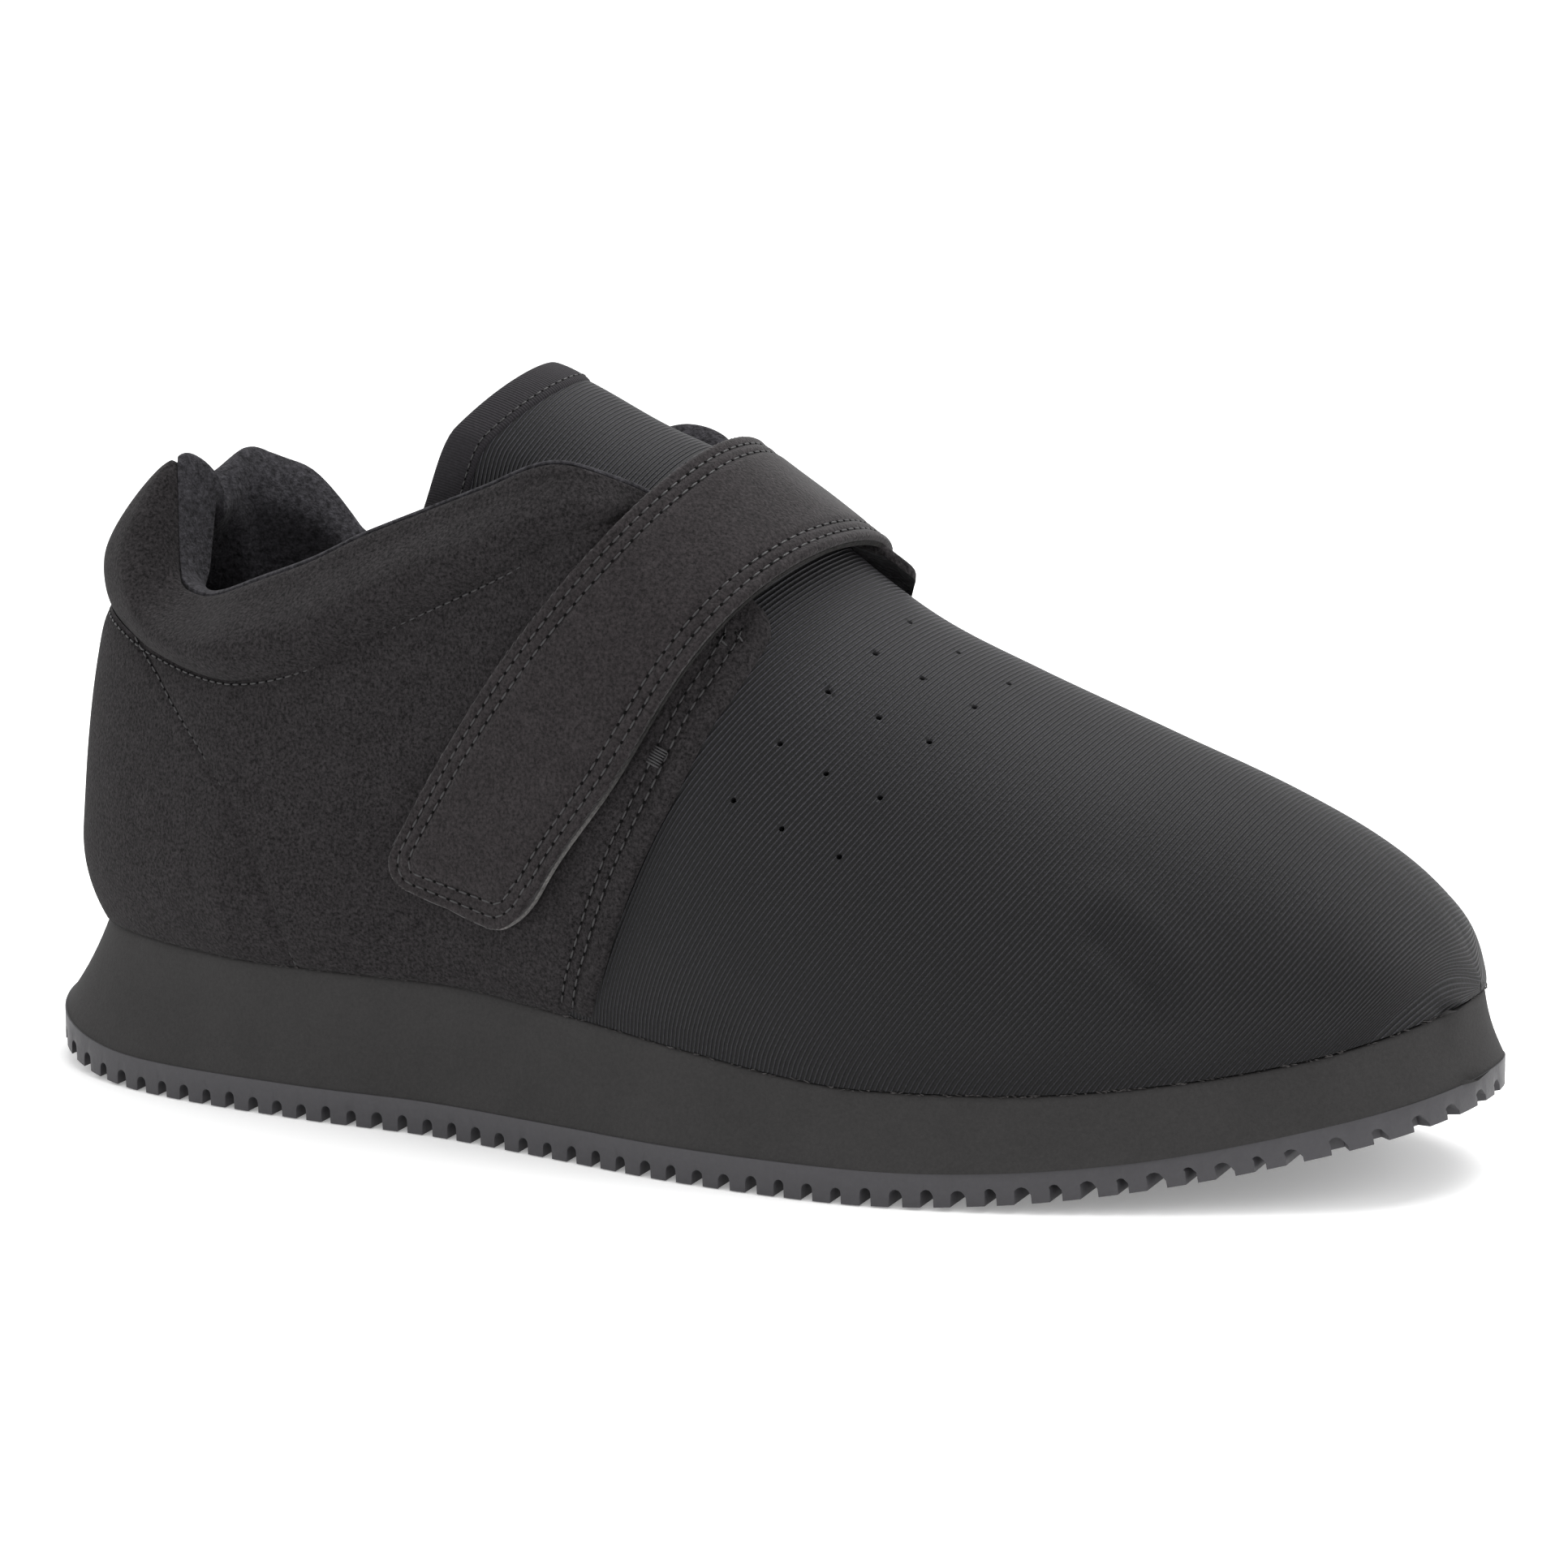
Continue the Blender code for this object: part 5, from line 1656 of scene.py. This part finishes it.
def make_stitches():
    """Every seam's stitches: short sunk threads with a near-black blob of painted shade for the needle hole
    between them.
    """
    base = template(bpy.ops.mesh.primitive_uv_sphere_add, segments=8, ring_count=6, radius=0.5)
    thick = sizes().thread
    looks = [look_of(sewing_thread), look_of(needle_hole_shade)]
    for name, (slot, rows) in seam_rows().items():
        parts = []
        for low, high, scale in rows:
            pitch = sizes().stitch * scale
            centre, along, out = evenly(low, high, pitch)
            thread = copies(base, (centre, along, out), (0.80 * pitch, thick, thick * 0.8))
            # Near-black blobs between the stitches: painted shade of the needle holes.
            between = (centre + along * pitch / 2, along, out)
            holes = copies(base, between, (0.0007 * scale, 0.0006 * scale, 0.00022))
            parts += [(thread, 0), (holes, 1)]
        loose_piece(name, parts, looks)
    bar_tacks(base)


def bar_tacks(base):
    """A short dense bar of thread across the front rows of each quarter."""
    for sign, name in ((-1, "bar_tack_lateral"), (1, "bar_tack_medial")):
        rows = front_seams(sign, -0.0002), front_seams(sign, 0.001)
        at = np.argmin(np.abs(rows[0][0][:, 2] - 0.62 * INSTEP_HEIGHT))
        near, far = rows[0][0][at], rows[0][1][at]
        out = unit(rows[1][0][at] - near)
        across = unit(far - near)
        run = np.cross(out, across)
        offsets = np.linspace(-0.0016, 0.0016, 7)[:, None]
        centre = (near + far) / 2 + run * offsets + out * 0.0003
        spots = (centre, np.tile(across, (7, 1)), np.tile(out, (7, 1)))
        thick = sizes().thread
        parts = [(copies(base, spots, (0.0034, thick, thick)), 0)]
        loose_piece(name, parts, [look_of(sewing_thread)])


def make_glue_line():
    """Fuzz and crumbs of cement where the upper meets the midsole."""
    rng = np.random.default_rng(11)
    base = template(bpy.ops.mesh.primitive_ico_sphere_add, subdivisions=1, radius=0.5)
    ring = Plan(1).ring
    length = way_along(ring[:, :2])
    count = 900
    at = np.sort(rng.uniform(0, length[-1], count))
    dense = 0.5 + 0.5 * np.sin(at * 90) * np.sin(at * 31 + 1)
    at = at[rng.uniform(0, 1, count) < 0.35 + 0.65 * dense]
    edge = np.stack([np.interp(at, length, ring[:, k]) for k in range(4)], axis=1)
    out = unit(np.column_stack([edge[:, 2:], np.full(len(at), 0.5)]))
    along = np.column_stack([-edge[:, 3], edge[:, 2], rng.uniform(-0.4, 0.4, len(at))])
    along = unit(along - out * (along * out).sum(axis=1)[:, None])
    centre = np.column_stack([edge[:, :2], sole_top(edge[:, 0]) + 0.0001])
    centre += np.column_stack([edge[:, 2:] * 0.0001, rng.uniform(-0.0001, 0.0003, len(at))])
    size = np.column_stack(
        [rng.uniform(low, high, len(at)) for low, high in ((4e-4, 18e-4), (1e-4, 3e-4), (1e-4, 3e-4))]
    )
    crumbs = copies(base, (centre, along, out), size)
    return loose_piece("glue_line", [(crumbs, 0)], [look_of(cement)])


def make_stage():
    """Pale floor, soft lights and the camera at the photograph's angle."""
    deselect()
    bpy.ops.mesh.primitive_plane_add(size=24, location=(0, 0, -0.0002))
    floor = bpy.context.active_object
    floor.name = "studio_floor"
    paper = finish(
        "white_paper", 0.9, (0.90, 0.90, 0.90), Specular_IOR_Level=0.1,
        Emission_Color=(1, 1, 1, 1), Emission_Strength=0.22,
    )[0]
    floor.data.materials.append(paper)
    world = bpy.data.worlds.new("studio")
    bpy.context.scene.world = world
    world.use_nodes = True
    world.node_tree.nodes["Background"].inputs["Color"].default_value = (1, 1, 1, 1)
    world.node_tree.nodes["Background"].inputs["Strength"].default_value = 1.0
    for name, place, size, power in (
        ("overhead_softbox", (0.15, 0.30, 1.20), 1.0, 14.0),
        ("front_softbox", (-0.80, -1.20, 0.70), 0.9, 3.0),
        ("toe_softbox", (1.10, 0.35, 0.60), 0.6, 2.5),
    ):
        light = bpy.data.lights.new(name, "AREA")
        light.size = size
        light.energy = power
        lamp = added(name, light)
        lamp.location = place
        lamp.rotation_euler = (Vector((0, 0, 0.05)) - Vector(place)).to_track_quat("-Z", "Y").to_euler()
    bpy.context.scene.view_settings.view_transform = "Standard"
    make_camera()


def make_camera():
    """The photograph's view: from the lateral front, a little above the shoe."""
    turn, tilt, distance = math.radians(24.5), math.radians(12), 0.9
    target = Vector((-0.00385, 0.0285, 0.0576))
    back = Vector((math.sin(turn) * math.cos(tilt), -math.cos(turn) * math.cos(tilt), math.sin(tilt)))
    focal_pixels, photo_pixels = 5670, 1932
    camera = bpy.data.cameras.new("camera")
    camera.sensor_width = 36
    camera.lens = camera.sensor_width * focal_pixels / photo_pixels
    camera.clip_end = 60
    holder = added("camera", camera)
    holder.location = target + back * distance
    holder.rotation_euler = back.to_track_quat("Z", "Y").to_euler()
    bpy.context.scene.camera = holder


class SHOE_OT_outsole(bpy.types.Operator):
    """Add the notched rubber outsole"""

    bl_idname = "shoe.outsole"
    bl_label = "Outsole"

    def execute(self, context):
        make_outsole()
        return {"FINISHED"}


class SHOE_OT_midsole(bpy.types.Operator):
    """Add the foam midsole and the cement along its upper edge"""

    bl_idname = "shoe.midsole"
    bl_label = "Midsole"

    def execute(self, context):
        make_midsole()
        make_glue_line()
        return {"FINISHED"}


class SHOE_OT_footbed(bpy.types.Operator):
    """Add the cloth-covered footbed"""

    bl_idname = "shoe.footbed"
    bl_label = "Footbed"

    def execute(self, context):
        make_footbed()
        return {"FINISHED"}


class SHOE_OT_vamp(bpy.types.Operator):
    """Add the ribbed vamp with its vent holes"""

    bl_idname = "shoe.vamp"
    bl_label = "Vamp"

    def execute(self, context):
        make_vamp()
        return {"FINISHED"}


class SHOE_OT_quarters(bpy.types.Operator):
    """Add the brushed quarters"""

    bl_idname = "shoe.quarters"
    bl_label = "Quarters"

    def execute(self, context):
        make_quarters()
        make_facing()
        return {"FINISHED"}


class SHOE_OT_collar(bpy.types.Operator):
    """Add the padded collar with its terry lining"""

    bl_idname = "shoe.collar"
    bl_label = "Collar"

    def execute(self, context):
        make_collar()
        return {"FINISHED"}


class SHOE_OT_tongue(bpy.types.Operator):
    """Add the ribbed tongue and its binding"""

    bl_idname = "shoe.tongue"
    bl_label = "Tongue"

    def execute(self, context):
        make_tongue()
        make_binding()
        return {"FINISHED"}


class SHOE_OT_strap(bpy.types.Operator):
    """Add the strap, its ring and the tab that holds it"""

    bl_idname = "shoe.strap"
    bl_label = "Strap"

    def execute(self, context):
        make_strap()
        make_ring()
        make_tab()
        return {"FINISHED"}


class SHOE_OT_stitches(bpy.types.Operator):
    """Add the stitches of all seams"""

    bl_idname = "shoe.stitches"
    bl_label = "Stitches"

    def execute(self, context):
        make_stitches()
        return {"FINISHED"}


class SHOE_OT_stage(bpy.types.Operator):
    """Add the floor, the lights and the camera"""

    bl_idname = "shoe.stage"
    bl_label = "Stage"

    def execute(self, context):
        make_stage()
        return {"FINISHED"}


OPERATORS = (
    SHOE_OT_stage,
    SHOE_OT_outsole,
    SHOE_OT_midsole,
    SHOE_OT_footbed,
    SHOE_OT_vamp,
    SHOE_OT_quarters,
    SHOE_OT_collar,
    SHOE_OT_tongue,
    SHOE_OT_strap,
    SHOE_OT_stitches,
)


class SHOE_PT_panel(bpy.types.Panel):
    """Sizes, colours and pieces of the shoe"""

    bl_idname = "SHOE_PT_panel"
    bl_label = "Stretch shoe"
    bl_space_type = "VIEW_3D"
    bl_region_type = "UI"
    bl_category = "Shoe"

    def draw(self, context):
        for group in (context.scene.shoe_sizes, context.scene.shoe_colours):
            column = self.layout.column()
            for name in group.__annotations__:
                column.prop(group, name)
        for operator in OPERATORS:
            self.layout.operator(operator.bl_idname)


CLASSES = (ShoeSizes, ShoeColours, *OPERATORS, SHOE_PT_panel)


def register():
    for entry in CLASSES:
        bpy.utils.register_class(entry)
    bpy.types.Scene.shoe_sizes = bpy.props.PointerProperty(type=ShoeSizes)
    bpy.types.Scene.shoe_colours = bpy.props.PointerProperty(type=ShoeColours)


def unregister():
    del bpy.types.Scene.shoe_sizes
    del bpy.types.Scene.shoe_colours
    for entry in reversed(CLASSES):
        bpy.utils.unregister_class(entry)


def main():
    register()
    bpy.ops.shoe.stage()
    bpy.ops.shoe.outsole()
    bpy.ops.shoe.midsole()
    bpy.ops.shoe.footbed()
    bpy.ops.shoe.vamp()
    bpy.ops.shoe.quarters()
    bpy.ops.shoe.collar()
    bpy.ops.shoe.tongue()
    bpy.ops.shoe.strap()
    bpy.ops.shoe.stitches()


if __name__ == "__main__":
    main()
